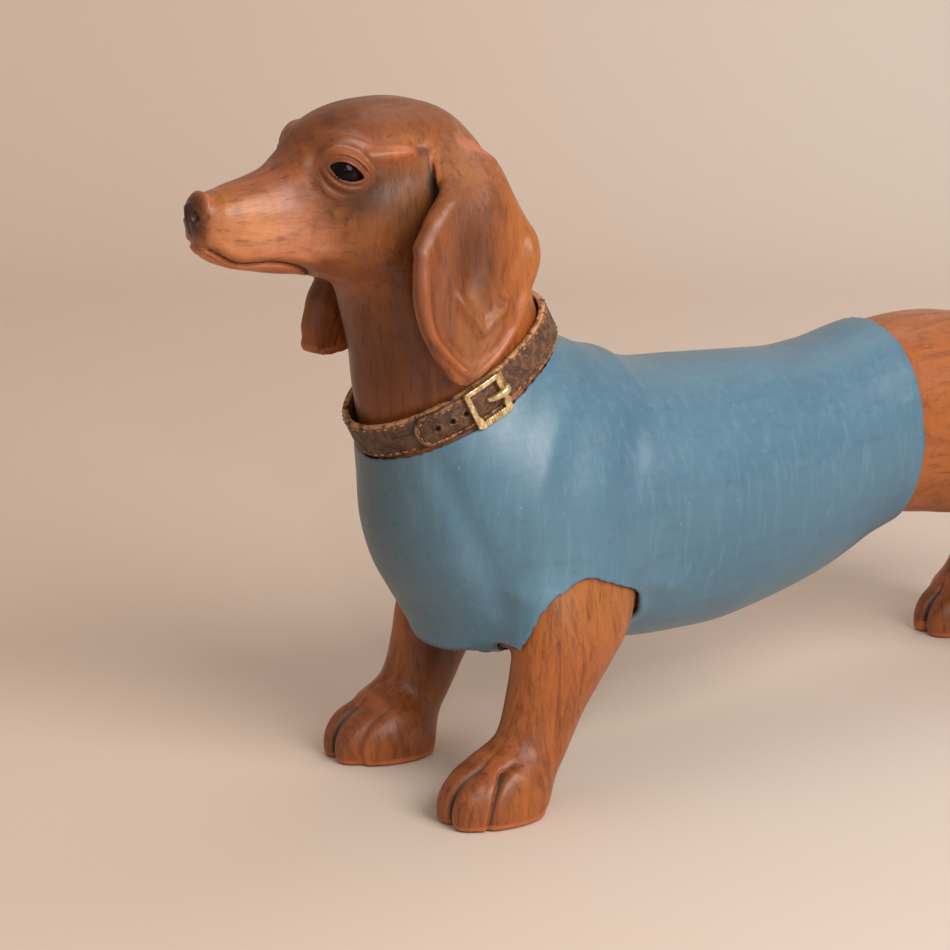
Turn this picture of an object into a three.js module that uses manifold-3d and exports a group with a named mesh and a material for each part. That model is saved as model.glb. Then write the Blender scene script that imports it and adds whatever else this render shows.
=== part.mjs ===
// A standing dachshund figurine, assembled from separately cast pieces: body, coat, head, ears, legs, tail,
// glass eyes, a strap collar with a buckle, and a pad under each foot. Millimetres, +Z up, nose towards -X.
// While it is being shaped, X = 0 and Y = 0 lie between the front feet; the last lines centre the box.
import * as THREE from "three";
import { mergeVertices } from "three/addons/utils/BufferGeometryUtils.js";
import Module from "manifold-3d";

const kernel = await Module();
kernel.setup();

// Driving dimensions
const GAP = 0.3; // clearance between pieces that touch
const WALL = 5; // wall of the hollow body and head
const COAT = 1.8; // thickness of the coat
const HEM_X = 189.5; // where the coat ends at mid height
const HEM_LEAN = 5; // degrees the hem leans back at the bottom
const STRAP = { width: 12.5, thick: 2.4, tilt: 28, x: 5.7, z: 145.5, a: 38.2, b: 27.2 }; // collar ring
const TONGUE = { from: 222, to: 274, thick: 1.6 }; // degrees round the ring of the strap's loose end
const BUCKLE = { at: 265, length: 13.4, height: 13.6, rod: 2.1 };
const EYE = { r: 6.2, x: -44.5, y: 15.6, z: 221 };
const PAD = { thick: 2.5, proud: 1.6 }; // foot pad, and how far it stands below the foot
const FRONT_Y = 36.5; // half the track of the front feet
const HIND_Y = 35; // half the track of the hind feet
const PEG = { r: 6.5, length: 13 }; // locating pegs on legs and tail

// Body under the coat: x, top z, bottom z, half width
const TRUNK = [
  [-6, 120, 72, 24], [14, 139, 50, 36], [36, 150, 44.5, 41], [49, 152, 43, 41.5], [62, 147, 42.5, 41],
  [78, 139.5, 42.5, 40], [111, 135.5, 43, 37.5], [143, 135.5, 47.5, 34.5], [170, 137.5, 57, 32],
  [192, 139.5, 63, 31.5], [214, 141, 66, 33], [238, 140, 65, 34], [262, 136.5, 67, 34], [281, 129, 74, 30],
  [292, 119, 86, 21], [296, 108, 96, 8],
];
// Chest and neck root: x, z, tilt, half length, half width
const CHEST = [
  [27, 49, 0, 16, 16], [25, 60, 0, 33, 32], [23.5, 82, 0, 41.5, 39.5], [20, 104, 6, 43.5, 40.5],
  [13, 125, 20, 39.5, 34], [5.7, 145.5, 28, 37.2, 26.4], [2, 153, 28, 36, 26],
];
// Neck above the collar: x, z, tilt, half length, half width
const NECK = [
  [9.5, 138.5, 28, 37.2, 26.4], [5.7, 145.5, 28, 37.2, 26.4], [1.5, 162, 25, 34.5, 25.5], [-3, 180, 24, 33, 25],
  [-8, 200, 24, 31, 23], [-12, 212, 24, 22, 17],
];
// Muzzle: x, top z, bottom z, half width
const MUZZLE = [
  [-24, 235, 186, 22], [-42, 232, 185, 21], [-54, 227.5, 186, 17], [-64, 222.5, 188, 14], [-74, 218.5, 190.5, 11.8],
  [-83, 215.5, 192.5, 10.4], [-89, 214, 196, 9], [-92, 211.5, 200, 6.5], [-93, 209, 203, 3.5],
];
// Ear, from root to tip: z, x, half width, y, half thickness
const EAR = [
  [229, -13, 5, 24, 2.2], [221, -9, 13, 28, 3.8], [208, -7, 21, 32.5, 4.4], [194, -6.5, 24.5, 35.5, 4.4],
  [180, -8.5, 23.5, 37.5, 4.2], [166, -13, 18.5, 38.5, 4.2], [155, -16.5, 11.5, 38.5, 4], [149.5, -17.5, 5, 38, 2.4],
];
// Front leg, from the sleeve down: z, x, half length, y, half width
const FRONT_LEG = [
  [84, 34, 19, 30, 12], [70, 33, 21.5, 33.5, 14], [57, 29, 21, 36, 15], [45, 25, 19, 36.5, 14],
  [33, 21, 16.5, 36, 12.8], [22, 15, 16.5, 35.5, 13], [13, 9, 17, 35, 14],
];
// Hind leg, from the hip down: z, x, half length, y, half width
const HIND_LEG = [
  [124, 262, 12, 16, 8], [110, 261, 25, 24, 14], [94, 261, 29, 28, 15], [78, 266, 25, 31, 14], [64, 274, 19, 33, 12.5],
  [50, 283, 14, 34, 11], [36, 285, 12.5, 34, 11], [22, 281, 14.5, 34, 12], [13, 277, 16, 34, 13.5],
];
// Tail: x, z, radius
const TAIL = [[287, 122, 10], [298, 118, 9.4], [312, 109, 7.8], [327, 99, 6.2], [342, 91, 4.6], [354, 87.5, 2.6]];

const colours = {
  fur: new THREE.MeshStandardMaterial({ color: 0x9c5f38, roughness: 0.42, metalness: 0 }),
  coat: new THREE.MeshStandardMaterial({ color: 0x54798b, roughness: 0.45, metalness: 0 }),
  leather: new THREE.MeshStandardMaterial({ color: 0x54341f, roughness: 0.5, metalness: 0 }),
  brass: new THREE.MeshStandardMaterial({ color: 0xc8a866, roughness: 0.3, metalness: 1 }),
  glass: new THREE.MeshStandardMaterial({ color: 0x1c0f0a, roughness: 0.08, metalness: 0 }),
  pad: new THREE.MeshStandardMaterial({ color: 0x2a211c, roughness: 0.8, metalness: 0 }),
};

// Solids

// A closed kernel solid from a three.js geometry, turned to face outwards.
function solid(geometry) {
  const bare = new THREE.BufferGeometry().setAttribute("position", geometry.getAttribute("position"));
  if (geometry.index) bare.setIndex(geometry.index);
  const merged = mergeVertices(bare, 1e-4);
  const make = (triVerts) =>
    new kernel.Manifold(
      new kernel.Mesh({ numProp: 3, vertProperties: merged.attributes.position.array, triVerts }),
    );
  const order = new Uint32Array(merged.index.array);
  const made = make(order);
  return made.volume() > 0 ? made : make(order.reverse());
}

function geometryOf(body) {
  const mesh = body.getMesh();
  const points = new Float32Array(mesh.numVert * 3);
  for (let i = 0; i < mesh.numVert; i++)
    points.set(mesh.vertProperties.subarray(i * mesh.numProp, i * mesh.numProp + 3), i * 3);
  const geometry = new THREE.BufferGeometry();
  geometry.setAttribute("position", new THREE.BufferAttribute(points, 3));
  geometry.setIndex(new THREE.BufferAttribute(new Uint32Array(mesh.triVerts), 1));
  geometry.computeVertexNormals();
  return geometry;
}

const join = (...bodies) => bodies.reduce((a, b) => a.add(b));
const cut = (body, ...tools) => tools.reduce((a, b) => a.subtract(b), body);

// Rows of a table with smooth rows put in between.
function refine(rows, per) {
  const curve = new THREE.CubicInterpolant(rows.map((_, i) => i), rows.flat(), rows[0].length);
  return Array.from({ length: (rows.length - 1) * per + 1 }, (_, i) => [...curve.evaluate(i / per)]);
}

// Rings of equal length skinned in order, with a fan over each end.
function loft(rings) {
  const n = rings[0].length;
  const middle = (ring) => ring.reduce((s, p) => s.add(p), new THREE.Vector3()).divideScalar(n);
  const points = [...rings.flat(), middle(rings[0]), middle(rings.at(-1))];
  const start = rings.length * n;
  const index = [];
  for (let j = 0; j < n; j++) {
    const k = (j + 1) % n;
    for (let i = 0; i + 1 < rings.length; i++) {
      const [a, b] = [i * n + j, i * n + k];
      index.push(a, b, b + n, a, b + n, a + n);
    }
    index.push(start, k, j, start + 1, start - n + j, start - n + k);
  }
  return solid(new THREE.BufferGeometry().setFromPoints(points).setIndex(index));
}

// An ellipse of points about a centre, on the half axes u and v.
const ellipse = (centre, u, v, n) =>
  Array.from({ length: n }, (_, i) => {
    const t = (2 * Math.PI * (i + 0.5)) / n;
    return centre.clone().addScaledVector(u, Math.cos(t)).addScaledVector(v, Math.sin(t));
  });

const X = (s) => new THREE.Vector3(s, 0, 0);
const Y = (s) => new THREE.Vector3(0, s, 0);
const Z = (s) => new THREE.Vector3(0, 0, s);
const at = (x, y, z) => new THREE.Vector3(x, y, z);
const tilted = (degrees, s) => X(s).applyAxisAngle(Y(1), -THREE.MathUtils.degToRad(degrees));

// Lofts whose rings stand upright along X, lie tilted up the neck, or lie flat down a leg or ear.
const alongX = (rows, grow, n) => {
  const [low, high] = [rows[0][0], rows.at(-1)[0]];
  return loft(
    rows.map(([x, top, bottom, half]) =>
      ellipse(
        at(x + grow * ((2 * (x - low)) / (high - low) - 1), 0, (top + bottom) / 2),
        Y(half + grow), Z((top - bottom) / 2 + grow), n,
      ),
    ),
  );
};
const upNeck = (rows, grow, n) =>
  loft(rows.map(([x, z, tilt, a, b]) => ellipse(at(x, 0, z), tilted(tilt, a + grow), Y(b + grow), n)));
const downLeg = (rows, side, grow, n) =>
  loft(rows.map(([z, x, a, y, b]) => ellipse(at(x, side * y, z), X(a + grow), Y(b + grow), n)));

const ellipsoid = (x, y, z, rx, ry, rz, n = 16) =>
  solid(new THREE.SphereGeometry(1, n, n / 2).rotateX(Math.PI / 2).scale(rx, ry, rz).translate(x, y, z));
const box = (x, y, z, sx, sy, sz) => solid(new THREE.BoxGeometry(sx, sy, sz).translate(x, y, z));

// A rod from one point to another.
function rod(from, to, r, n = 16) {
  const line = to.clone().sub(from);
  const turn = new THREE.Quaternion().setFromUnitVectors(Y(1), line.clone().normalize());
  const shape = new THREE.CylinderGeometry(r, r, line.length(), n).translate(0, line.length() / 2, 0);
  return solid(shape.applyQuaternion(turn).translate(from.x, from.y, from.z));
}

// Collar frame: local Z points up the neck, local X back along the collar's long axis.
const collarFrame = new THREE.Matrix4()
  .makeRotationY(-THREE.MathUtils.degToRad(STRAP.tilt))
  .setPosition(STRAP.x, 0, STRAP.z);
const collarSolid = (geometry) => solid(geometry.applyMatrix4(collarFrame));

// Everything above a height in the collar frame.
const aboveCollar = (height) =>
  collarSolid(new THREE.BoxGeometry(160, 160, 120).translate(0, 0, 60 + height));

// Room for the strap and everything inside it, from its lower edge up.
const strapRoom = (clearance) =>
  collarSolid(
    new THREE.CylinderGeometry(1, 1, 60, 48)
      .rotateX(Math.PI / 2)
      .scale(STRAP.a + STRAP.thick + clearance, STRAP.b + STRAP.thick + clearance, 1)
      .translate(0, 0, 30 - STRAP.width / 2 - clearance),
  );
// The coat stops under the strap, but at the nape it stands up behind it.
const collarCut = (clearance) =>
  join(
    strapRoom(2 * clearance),
    cut(aboveCollar(-STRAP.width / 2 - clearance), box(STRAP.x + 80, 0, 150, 100, 50, 80)),
  );
const behindHem = (grow) =>
  solid(
    new THREE.BoxGeometry(200, 200, 300)
      .translate(100, 0, 0)
      .rotateY(THREE.MathUtils.degToRad(HEM_LEAN))
      .translate(HEM_X + grow, 0, 100),
  );

// Body, coat and legs

const SEGMENTS = 24;

function bodyForm(grow) {
  const masses = [-1, 1].flatMap((s) => [
    ellipsoid(36, 26 * s, 84, 25 + grow, 17 + grow, 33 + grow, 14), // shoulder
    ellipsoid(258, 17 * s, 103, 35 + grow, 21.5 + grow, 34 + grow, 14), // haunch
  ]);
  return join(upNeck(CHEST, grow, SEGMENTS), alongX(TRUNK, grow, SEGMENTS), ...masses);
}

const footOf = (side, x, y, grow = 0) =>
  join(
    ellipsoid(x + 2, side * y, 7, 19 + grow, 15 + grow, 15 + grow, 14),
    ...[-1.5, -0.5, 0.5, 1.5].map((t) =>
      ellipsoid(x - 9 + Math.abs(t) * 2, side * y + t * 7, 8, 11 + grow, 4.6 + grow, 11.5 + grow, 10),
    ),
  );
const FOOT = { front: { x: 0.5, y: FRONT_Y }, hind: { x: 270, y: HIND_Y } };

function padOf(side, foot, grow) {
  const outline = new THREE.CylinderGeometry(1, 1, PAD.thick + 2 * grow, 20).rotateX(Math.PI / 2);
  return solid(
    outline.scale(15.5 + grow, 11.5 + grow, 1).translate(foot.x + 1, side * foot.y, PAD.thick / 2),
  );
}

const frontPeg = (side, grow) =>
  rod(at(34, side * (44 - PEG.length - 8), 66), at(32, side * 44, 62), PEG.r + grow);
const hindPeg = (side, grow) =>
  rod(at(262, side * (40 - PEG.length - 6), 100), at(264, side * 40, 92), PEG.r + grow);
const tailPeg = (grow) => rod(at(282, 0, 124), at(300, 0, 117), PEG.r - 1 + grow);

function legOf(side, rows, foot, peg, clear) {
  const limb = join(downLeg(rows, side, 0, 16), footOf(side, foot.x, foot.y));
  const trimmed = cut(limb, clear, box(foot.x, side * foot.y, PAD.proud - 50, 200, 100, 100));
  const pieces = cut(join(trimmed, peg(side, 0)), padOf(side, foot, GAP)).decompose();
  return pieces.reduce((a, b) => (a.volume() > b.volume() ? a : b));
}

const skin = bodyForm(0);
const clearOfSkin = bodyForm(GAP);
const clearOfCoat = bodyForm(COAT + 2 * GAP);

// The sleeve is an oval opening about the top of each front leg.
const sleeve = (side, grow) =>
  solid(
    new THREE.CylinderGeometry(1, 1, 60, 28)
      .scale(26 + grow, 1, 26 + grow)
      .rotateY(THREE.MathUtils.degToRad(-8))
      .translate(31, side * 46, 50.5),
  );

// Where the coat covers the body a leg must clear the coat, and elsewhere only the skin.
const coatSolid = cut(clearOfCoat, collarCut(0), behindHem(-GAP), sleeve(-1, -GAP), sleeve(1, -GAP));
const clear = join(clearOfSkin, coatSolid);
const legs = {
  front_left: legOf(-1, FRONT_LEG, FOOT.front, frontPeg, clear),
  front_right: legOf(1, FRONT_LEG, FOOT.front, frontPeg, clear),
  hind_left: legOf(-1, HIND_LEG, FOOT.hind, hindPeg, clear),
  hind_right: legOf(1, HIND_LEG, FOOT.hind, hindPeg, clear),
};

const coat = cut(
  bodyForm(COAT + GAP), clearOfSkin, collarCut(GAP), aboveCollar(4), behindHem(0), sleeve(-1, 0), sleeve(1, 0),
);

// The strap needs room round a short stub of neck, and the head sits on top of the stub.
const NECK_JOINT = -2; // height in the collar frame where the head meets the body
const stub = collarSolid(
  new THREE.CylinderGeometry(1, 1, 80, 48).rotateX(Math.PI / 2).scale(STRAP.a - 0.9, STRAP.b - 0.8, 1),
);
const torso = cut(
  skin,
  cut(collarCut(GAP), stub),
  aboveCollar(NECK_JOINT),
  join(upNeck(CHEST, -WALL, 16), alongX(TRUNK, -WALL, 16)),
  ...[-1, 1].flatMap((s) => [frontPeg(s, GAP), hindPeg(s, GAP)]),
  tailPeg(GAP),
);

// Tail

const tailRings = refine(TAIL, 1).map(([x, z, r], i, rows) => {
  const [ahead, behind] = [rows[Math.min(i + 1, rows.length - 1)], rows[Math.max(i - 1, 0)]];
  const along = at(ahead[0] - behind[0], 0, ahead[1] - behind[1]).normalize();
  return ellipse(at(x, 0, z), Y(r), at(-along.z * r, 0, along.x * r), 14);
});
const tail = join(cut(loft(tailRings), clearOfSkin), tailPeg(0));

// Head, ears and eyes


const headForm = (grow) =>
  join(
    upNeck(NECK, grow, SEGMENTS),
    alongX(MUZZLE, grow, 20),
    ellipsoid(-22, 0, 212.5, 39 + grow, 25 + grow, 28.5 + grow, 22),
    ellipsoid(-24, 0, 199, 30 + grow, 23.5 + grow, 17 + grow),
    ellipsoid(-38, 0, 221.5, 19 + grow, 21.5 + grow, 16 + grow),
    ...[-1, 1].map((s) => ellipsoid(-44, 12 * s, 223.5, 11 + grow, 8 + grow, 9 + grow, 12)),
  );
const headSkin = headForm(0);

const eyeOf = (side, grow) =>
  solid(new THREE.SphereGeometry(EYE.r + grow, 14, 8).translate(EYE.x, side * EYE.y, EYE.z));

// The neck narrows below the joint to a spigot that stands inside the body's neck.
const spigotRows = [[12.5, 131, 27, 28.5, 19], [4.5, 148, 28, 31, 20.6]];
const neckHollow = upNeck(
  [[14, 127, 27, 23, 14.5], [5.7, 145.5, 28, 26, 16], [1, 164, 25, 26, 17], [-4, 184, 22, 23, 16], [-9, 204, 24, 14, 10]],
  0, 14,
);
const mouth = alongX([[-100, 201, 199.6, 30], [-60, 194.4, 193, 30]], 0, 12);
const head = cut(
  join(
    cut(headSkin, collarSolid(new THREE.BoxGeometry(160, 160, 60).translate(0, 0, NECK_JOINT + GAP - 30))),
    upNeck(spigotRows, 0, SEGMENTS),
  ),
  neckHollow,
  cut(mouth, ellipsoid(-78, 0, 197, 40, 8.2, 16)),
  eyeOf(-1, GAP),
  eyeOf(1, GAP),
);

const clearOfHead = headForm(GAP);
function earOf(side) {
  const rows = refine(EAR, 2);
  const rings = rows.map(([z, x, half, y, thick]) => {
    const ring = ellipse(at(x, side * y, z), X(half), Y(thick), 16);
    // the rear edge wraps in towards the nape
    ring.forEach((p) => (p.y -= (side * 5 * Math.max(0, p.x - x) ** 2) / half ** 2));
    return ring;
  });
  return cut(loft(rings), clearOfHead).decompose().reduce((a, b) => (a.volume() > b.volume() ? a : b));
}

// Collar

const bandShape = (a, b, thick) => {
  const shape = new THREE.Shape().absellipse(0, 0, a + thick, b + thick, 0, 2 * Math.PI);
  shape.holes.push(new THREE.Path().absellipse(0, 0, a, b, 0, 2 * Math.PI, true));
  return shape;
};
const strap = collarSolid(
  new THREE.ExtrudeGeometry(bandShape(STRAP.a, STRAP.b, STRAP.thick), {
    depth: STRAP.width - 1, curveSegments: 20, bevelSize: 0.4, bevelThickness: 0.5, bevelOffset: -0.4, bevelSegments: 1,
  }).translate(0, 0, 0.5 - STRAP.width / 2),
);

// A point on the collar ring: degrees round it, distance out from the neck, height up the neck.
function onRing(degrees, out, height) {
  const t = THREE.MathUtils.degToRad(degrees);
  const normal = at(Math.cos(t) * STRAP.b, Math.sin(t) * STRAP.a, 0).normalize();
  return at(Math.cos(t) * STRAP.a, Math.sin(t) * STRAP.b, height).addScaledVector(normal, out).applyMatrix4(collarFrame);
}

const tongueIn = STRAP.thick + GAP;
const tongueOut = tongueIn + TONGUE.thick;
const tongueRings = Array.from({ length: 19 }, (_, i) => {
  const t = i / 18;
  const degrees = TONGUE.from + (TONGUE.to - TONGUE.from) * t ** 1.5;
  const half = (STRAP.width / 2 - 0.3) * Math.min(1, Math.sqrt(0.04 + (degrees - TONGUE.from) / 9));
  return [[tongueIn, -1], [tongueOut, -1], [tongueOut, 1], [tongueIn, 1]].map(([out, side]) => onRing(degrees, out, side * half));
});
const punch = (degrees) => rod(onRing(degrees, STRAP.thick, 0), onRing(degrees, 9, 0), 0.8, 10);
const tongue = cut(loft(tongueRings), ...[234, 242, 249.5].map(punch));

// The buckle's own frame: local X round the collar, local Y up the neck, local Z out from it.
const buckleOut = tongueOut + 1.2;
const outward = onRing(BUCKLE.at, buckleOut + 1, 0).sub(onRing(BUCKLE.at, buckleOut, 0));
const upward = onRing(BUCKLE.at, 0, 1).sub(onRing(BUCKLE.at, 0, 0));
const buckleFrame = new THREE.Matrix4()
  .makeBasis(upward.clone().cross(outward), upward, outward)
  .setPosition(onRing(BUCKLE.at, buckleOut, 0.3));

function roundedRectangle(path, w, h, r) {
  return path
    .moveTo(r - w / 2, -h / 2).lineTo(w / 2 - r, -h / 2).quadraticCurveTo(w / 2, -h / 2, w / 2, r - h / 2)
    .lineTo(w / 2, h / 2 - r).quadraticCurveTo(w / 2, h / 2, w / 2 - r, h / 2)
    .lineTo(r - w / 2, h / 2).quadraticCurveTo(-w / 2, h / 2, -w / 2, h / 2 - r)
    .lineTo(-w / 2, r - h / 2).quadraticCurveTo(-w / 2, -h / 2, r - w / 2, -h / 2);
}
const frameShape = roundedRectangle(new THREE.Shape(), BUCKLE.length, BUCKLE.height, 2);
frameShape.holes.push(
  roundedRectangle(new THREE.Path(), BUCKLE.length - 2 * BUCKLE.rod, BUCKLE.height - 2 * BUCKLE.rod, 0.8),
);
const buckle = solid(
  new THREE.ExtrudeGeometry(frameShape, { depth: BUCKLE.rod, bevelEnabled: false, curveSegments: 4 })
    .applyMatrix4(buckleFrame),
);

// The prong hooks over one bar of the frame and ends in the opening, over the strap's hole.
const bar = BUCKLE.length / 2 - BUCKLE.rod / 2;
const prongPath = new THREE.CatmullRomCurve3([
  at(bar + 2.4, 0, 2.4), at(bar + 1.2, 0, 3.2), at(bar, 0, 3.5), at(bar - 1.5, 0, 3), at(bar - 3, 0, 1.8), at(bar - 4.6, 0, 0.9),
]);
const prongRings = Array.from({ length: 13 }, (_, i) => {
  const [p, d] = [prongPath.getPoint(i / 12), prongPath.getTangent(i / 12)];
  const r = 0.9 - 0.2 * (i / 12);
  return ellipse(p, Y(r * 1.3), at(-d.z * r, 0, d.x * r), 10).map((q) => q.applyMatrix4(buckleFrame));
});
const prong = cut(loft(prongRings), strap, tongue);

// Assembly

const pieces = {
  torso: [torso, colours.fur],
  coat: [coat, colours.coat],
  head: [head, colours.fur],
  left_ear: [earOf(-1), colours.fur],
  right_ear: [earOf(1), colours.fur],
  left_eye: [eyeOf(-1, 0), colours.glass],
  right_eye: [eyeOf(1, 0), colours.glass],
  collar_strap: [strap, colours.leather],
  collar_tongue: [tongue, colours.leather],
  buckle_frame: [buckle, colours.brass],
  buckle_prong: [prong, colours.brass],
  front_left_leg: [legs.front_left, colours.fur],
  front_right_leg: [legs.front_right, colours.fur],
  hind_left_leg: [legs.hind_left, colours.fur],
  hind_right_leg: [legs.hind_right, colours.fur],
  tail: [tail, colours.fur],
  front_left_pad: [padOf(-1, FOOT.front, 0), colours.pad],
  front_right_pad: [padOf(1, FOOT.front, 0), colours.pad],
  hind_left_pad: [padOf(-1, FOOT.hind, 0), colours.pad],
  hind_right_pad: [padOf(1, FOOT.hind, 0), colours.pad],
};

const figure = new THREE.Group();
for (const [name, [body, material]] of Object.entries(pieces)) {
  const mesh = new THREE.Mesh(geometryOf(body), material);
  mesh.name = name;
  figure.add(mesh);
}
const middle = new THREE.Box3().setFromObject(figure).getCenter(new THREE.Vector3());
figure.position.set(-middle.x, 0, 0);

const group = new THREE.Group();
group.add(figure);
export default group;
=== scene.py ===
import math

import bpy
import numpy as np
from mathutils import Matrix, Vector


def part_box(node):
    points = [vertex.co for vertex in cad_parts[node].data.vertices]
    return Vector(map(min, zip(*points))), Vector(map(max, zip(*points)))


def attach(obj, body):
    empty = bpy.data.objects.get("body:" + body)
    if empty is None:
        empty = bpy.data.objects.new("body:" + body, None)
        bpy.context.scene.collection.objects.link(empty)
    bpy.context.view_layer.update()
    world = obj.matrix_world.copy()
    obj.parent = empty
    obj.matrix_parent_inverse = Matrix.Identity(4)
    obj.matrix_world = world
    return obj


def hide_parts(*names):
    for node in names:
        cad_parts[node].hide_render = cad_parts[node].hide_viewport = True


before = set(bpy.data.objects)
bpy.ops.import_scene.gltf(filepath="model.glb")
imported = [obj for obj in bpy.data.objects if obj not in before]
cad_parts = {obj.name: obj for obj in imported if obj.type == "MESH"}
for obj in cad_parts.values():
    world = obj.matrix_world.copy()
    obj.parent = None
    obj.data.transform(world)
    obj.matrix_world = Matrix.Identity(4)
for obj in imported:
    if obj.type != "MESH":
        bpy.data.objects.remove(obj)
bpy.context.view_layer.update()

import openvdb
from mathutils import Vector

# Shapes are worked out in millimetres from a point on the ground between the front feet,
# x towards the tail, y to the dog's right, z up. ORIGIN carries them into the CAD frame.
NOSE_X = -93.0
ORIGIN = np.array([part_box("head")[0].x * 1000 - NOSE_X, 0.0, 0.0])
MM = 0.001
GAP = 0.3  # clearance between pieces that touch


def node_box(name):
    lo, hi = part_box(name)
    return np.array(lo) * 1000 - ORIGIN, np.array(hi) * 1000 - ORIGIN


# ---------------------------------------------------------------- distance fields

def smooth_rows(rows, per=12):
    """A table with smooth rows put in between (Catmull-Rom)."""
    r = np.array(rows, float)
    r = np.vstack([2 * r[0] - r[1], r, 2 * r[-1] - r[-2]])
    t = np.linspace(0, 1, per, endpoint=False)[:, None]
    out = []
    for a, b, c, d in zip(r, r[1:], r[2:], r[3:]):
        bend = (2 * a - 5 * b + 4 * c - d) * t**2 + (3 * b - a - 3 * c + d) * t**3
        out.append(0.5 * (2 * b + (c - a) * t + bend))
    return np.vstack(out + [r[-2:-1]])


class Sweep:
    """A tube with elliptic sections: rows of x, y, z, half size in the XZ plane, half size along y."""

    def __init__(self, rows, p=2.0, samples=160):
        t = smooth_rows(rows)
        s = np.r_[0, np.cumsum(np.hypot(np.diff(t[:, 0]), np.diff(t[:, 2])))]
        u = np.linspace(0, s[-1], samples)
        tab = np.stack([np.interp(u, s, t[:, i]) for i in range(5)], 1)
        d = np.gradient(tab[:, [0, 2]], axis=0)
        d /= np.linalg.norm(d, axis=1)[:, None]
        self.tab = np.hstack([tab, d]).astype(np.float32)
        self.length, self.du, self.p = float(s[-1]), float(u[1]), p
        chord = self.tab[-1, [0, 2]] - self.tab[0, [0, 2]]
        self.chord = chord * self.length / float(chord @ chord)

    def local(self, P):
        x, y, z = P
        s = (x - self.tab[0, 0]) * self.chord[0] + (z - self.tab[0, 2]) * self.chord[1]
        for _ in range(3):
            sc = np.clip(s, 0, self.length)
            i = np.minimum((sc / self.du).astype(np.int32), len(self.tab) - 2)
            f = (sc / self.du - i)[:, None]
            row = self.tab[i] * (1 - f) + self.tab[i + 1] * f
            s = sc + (x - row[:, 0]) * row[:, 5] + (z - row[:, 2]) * row[:, 6]
        u = (z - row[:, 2]) * row[:, 5] - (x - row[:, 0]) * row[:, 6]
        return s, u, y - row[:, 1], row[:, 3], row[:, 4]

    def section(self, s, u, v, a, b):
        if self.p == 2:
            k0 = np.sqrt((u / a) ** 2 + (v / b) ** 2)
        else:
            k0 = (np.abs(u / a) ** self.p + np.abs(v / b) ** self.p) ** (1 / self.p)
        k1 = np.sqrt((u / a**2) ** 2 + (v / b**2) ** 2) + 1e-6
        d = np.maximum(k0 * (k0 - 1) / k1, -np.minimum(a, b))
        e = np.maximum(s - self.length, -s)
        return np.where(e > 0, np.hypot(np.maximum(d, 0), e), np.maximum(d, e))

    def __call__(self, P):
        return self.section(*self.local(P))


def ellipsoid(P, c, r, tilt=0.0):
    """tilt turns the long axis up at the back, in degrees."""
    x, y, z = P[0] - c[0], P[1] - c[1], P[2] - c[2]
    if tilt:
        t = math.radians(tilt)
        x, z = x * math.cos(t) + z * math.sin(t), z * math.cos(t) - x * math.sin(t)
    k0 = np.sqrt((x / r[0]) ** 2 + (y / r[1]) ** 2 + (z / r[2]) ** 2)
    k1 = np.sqrt((x / r[0] ** 2) ** 2 + (y / r[1] ** 2) ** 2 + (z / r[2] ** 2) ** 2) + 1e-6
    return np.maximum(k0 * (k0 - 1) / k1, -min(r))


def smin(a, b, k):
    h = np.maximum(k - np.abs(a - b), 0) / k
    return np.minimum(a, b) - h * h * k * 0.25


def smax(a, b, k):
    return -smin(-a, -b, k)


def step(e0, e1, x):
    t = np.clip((x - e0) / (e1 - e0), 0, 1)
    return t * t * (3 - 2 * t)


def bell(x, width):
    """1 at zero and fading over the width."""
    return np.exp(-((x / width) ** 2))


def within(P, lo, hi, shape, rest=0.0):
    """The shape's value inside a box, and the rest value outside it, where the shape doesn't matter."""
    inside = np.ones(P[0].shape, bool)
    for p, a, b in zip(P, lo, hi):
        inside &= (p > a) & (p < b)
    out = np.full(P[0].shape, rest, np.float32)
    if inside.any():
        out[inside] = shape([p[inside] for p in P])
    return out


REACH = 2.6  # a mark is worked out this many widths around itself


def squared(P, c, r):
    """Squared distance from a centre, measured in the radii."""
    return sum(((P[i] - c[i]) / r[i]) ** 2 for i in range(3))


def blob(P, c, r):
    """1 at the centre and fading outwards over the radii."""
    c, r = np.array(c, float), np.array(r, float)
    return within(P, c - REACH * r, c + REACH * r, lambda Q: np.exp(-squared(Q, c, r)))


def near_line(P, points, width):
    """1 on a smooth line through the points and fading over the width."""
    pts = smooth_rows(points, 4)

    def fade(Q):
        best = np.full(Q[0].shape, 1e9, np.float32)
        for a, b in zip(pts[:-1], pts[1:]):
            d = b - a
            w = [Q[i] - a[i] for i in range(3)]
            t = np.clip((w[0] * d[0] + w[1] * d[1] + w[2] * d[2]) / (d @ d), 0, 1)
            best = np.minimum(best, sum((w[i] - d[i] * t) ** 2 for i in range(3)))
        return np.exp(-best / width**2)

    return within(P, pts.min(0) - REACH * width, pts.max(0) + REACH * width, fade)


def marked(f, P, marks):
    """The field with marks pressed in, or raised where the depth is negative: (depth, centre, radii)
    for a rounded mark and (depth, [points of a line], width) for a drawn one."""
    for depth, place, size in marks:
        f = f + depth * (near_line if isinstance(place, list) else blob)(P, place, size)
    return f


def flank_arc(P, centre, radius, low, high, width):
    """1 on an arc drawn on the flank in side view, between two angles up from straight ahead."""
    ahead, up = centre[0] - P[0], P[2] - centre[1]
    turn = np.degrees(np.arctan2(up, ahead))
    ends = step(low - 9, low, turn) * step(high + 9, high, turn)
    return bell(np.hypot(ahead, up) - radius, width) * ends * step(12, 26, P[1])


# Tables in the same order as the CAD's: body, chest, neck, muzzle, legs, tail
def upright(rows):
    """x, top, bottom, half width -> sweep rows along x."""
    return [(x, 0, (t + b) / 2, (t - b) / 2, w) for x, t, b, w in rows]


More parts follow.
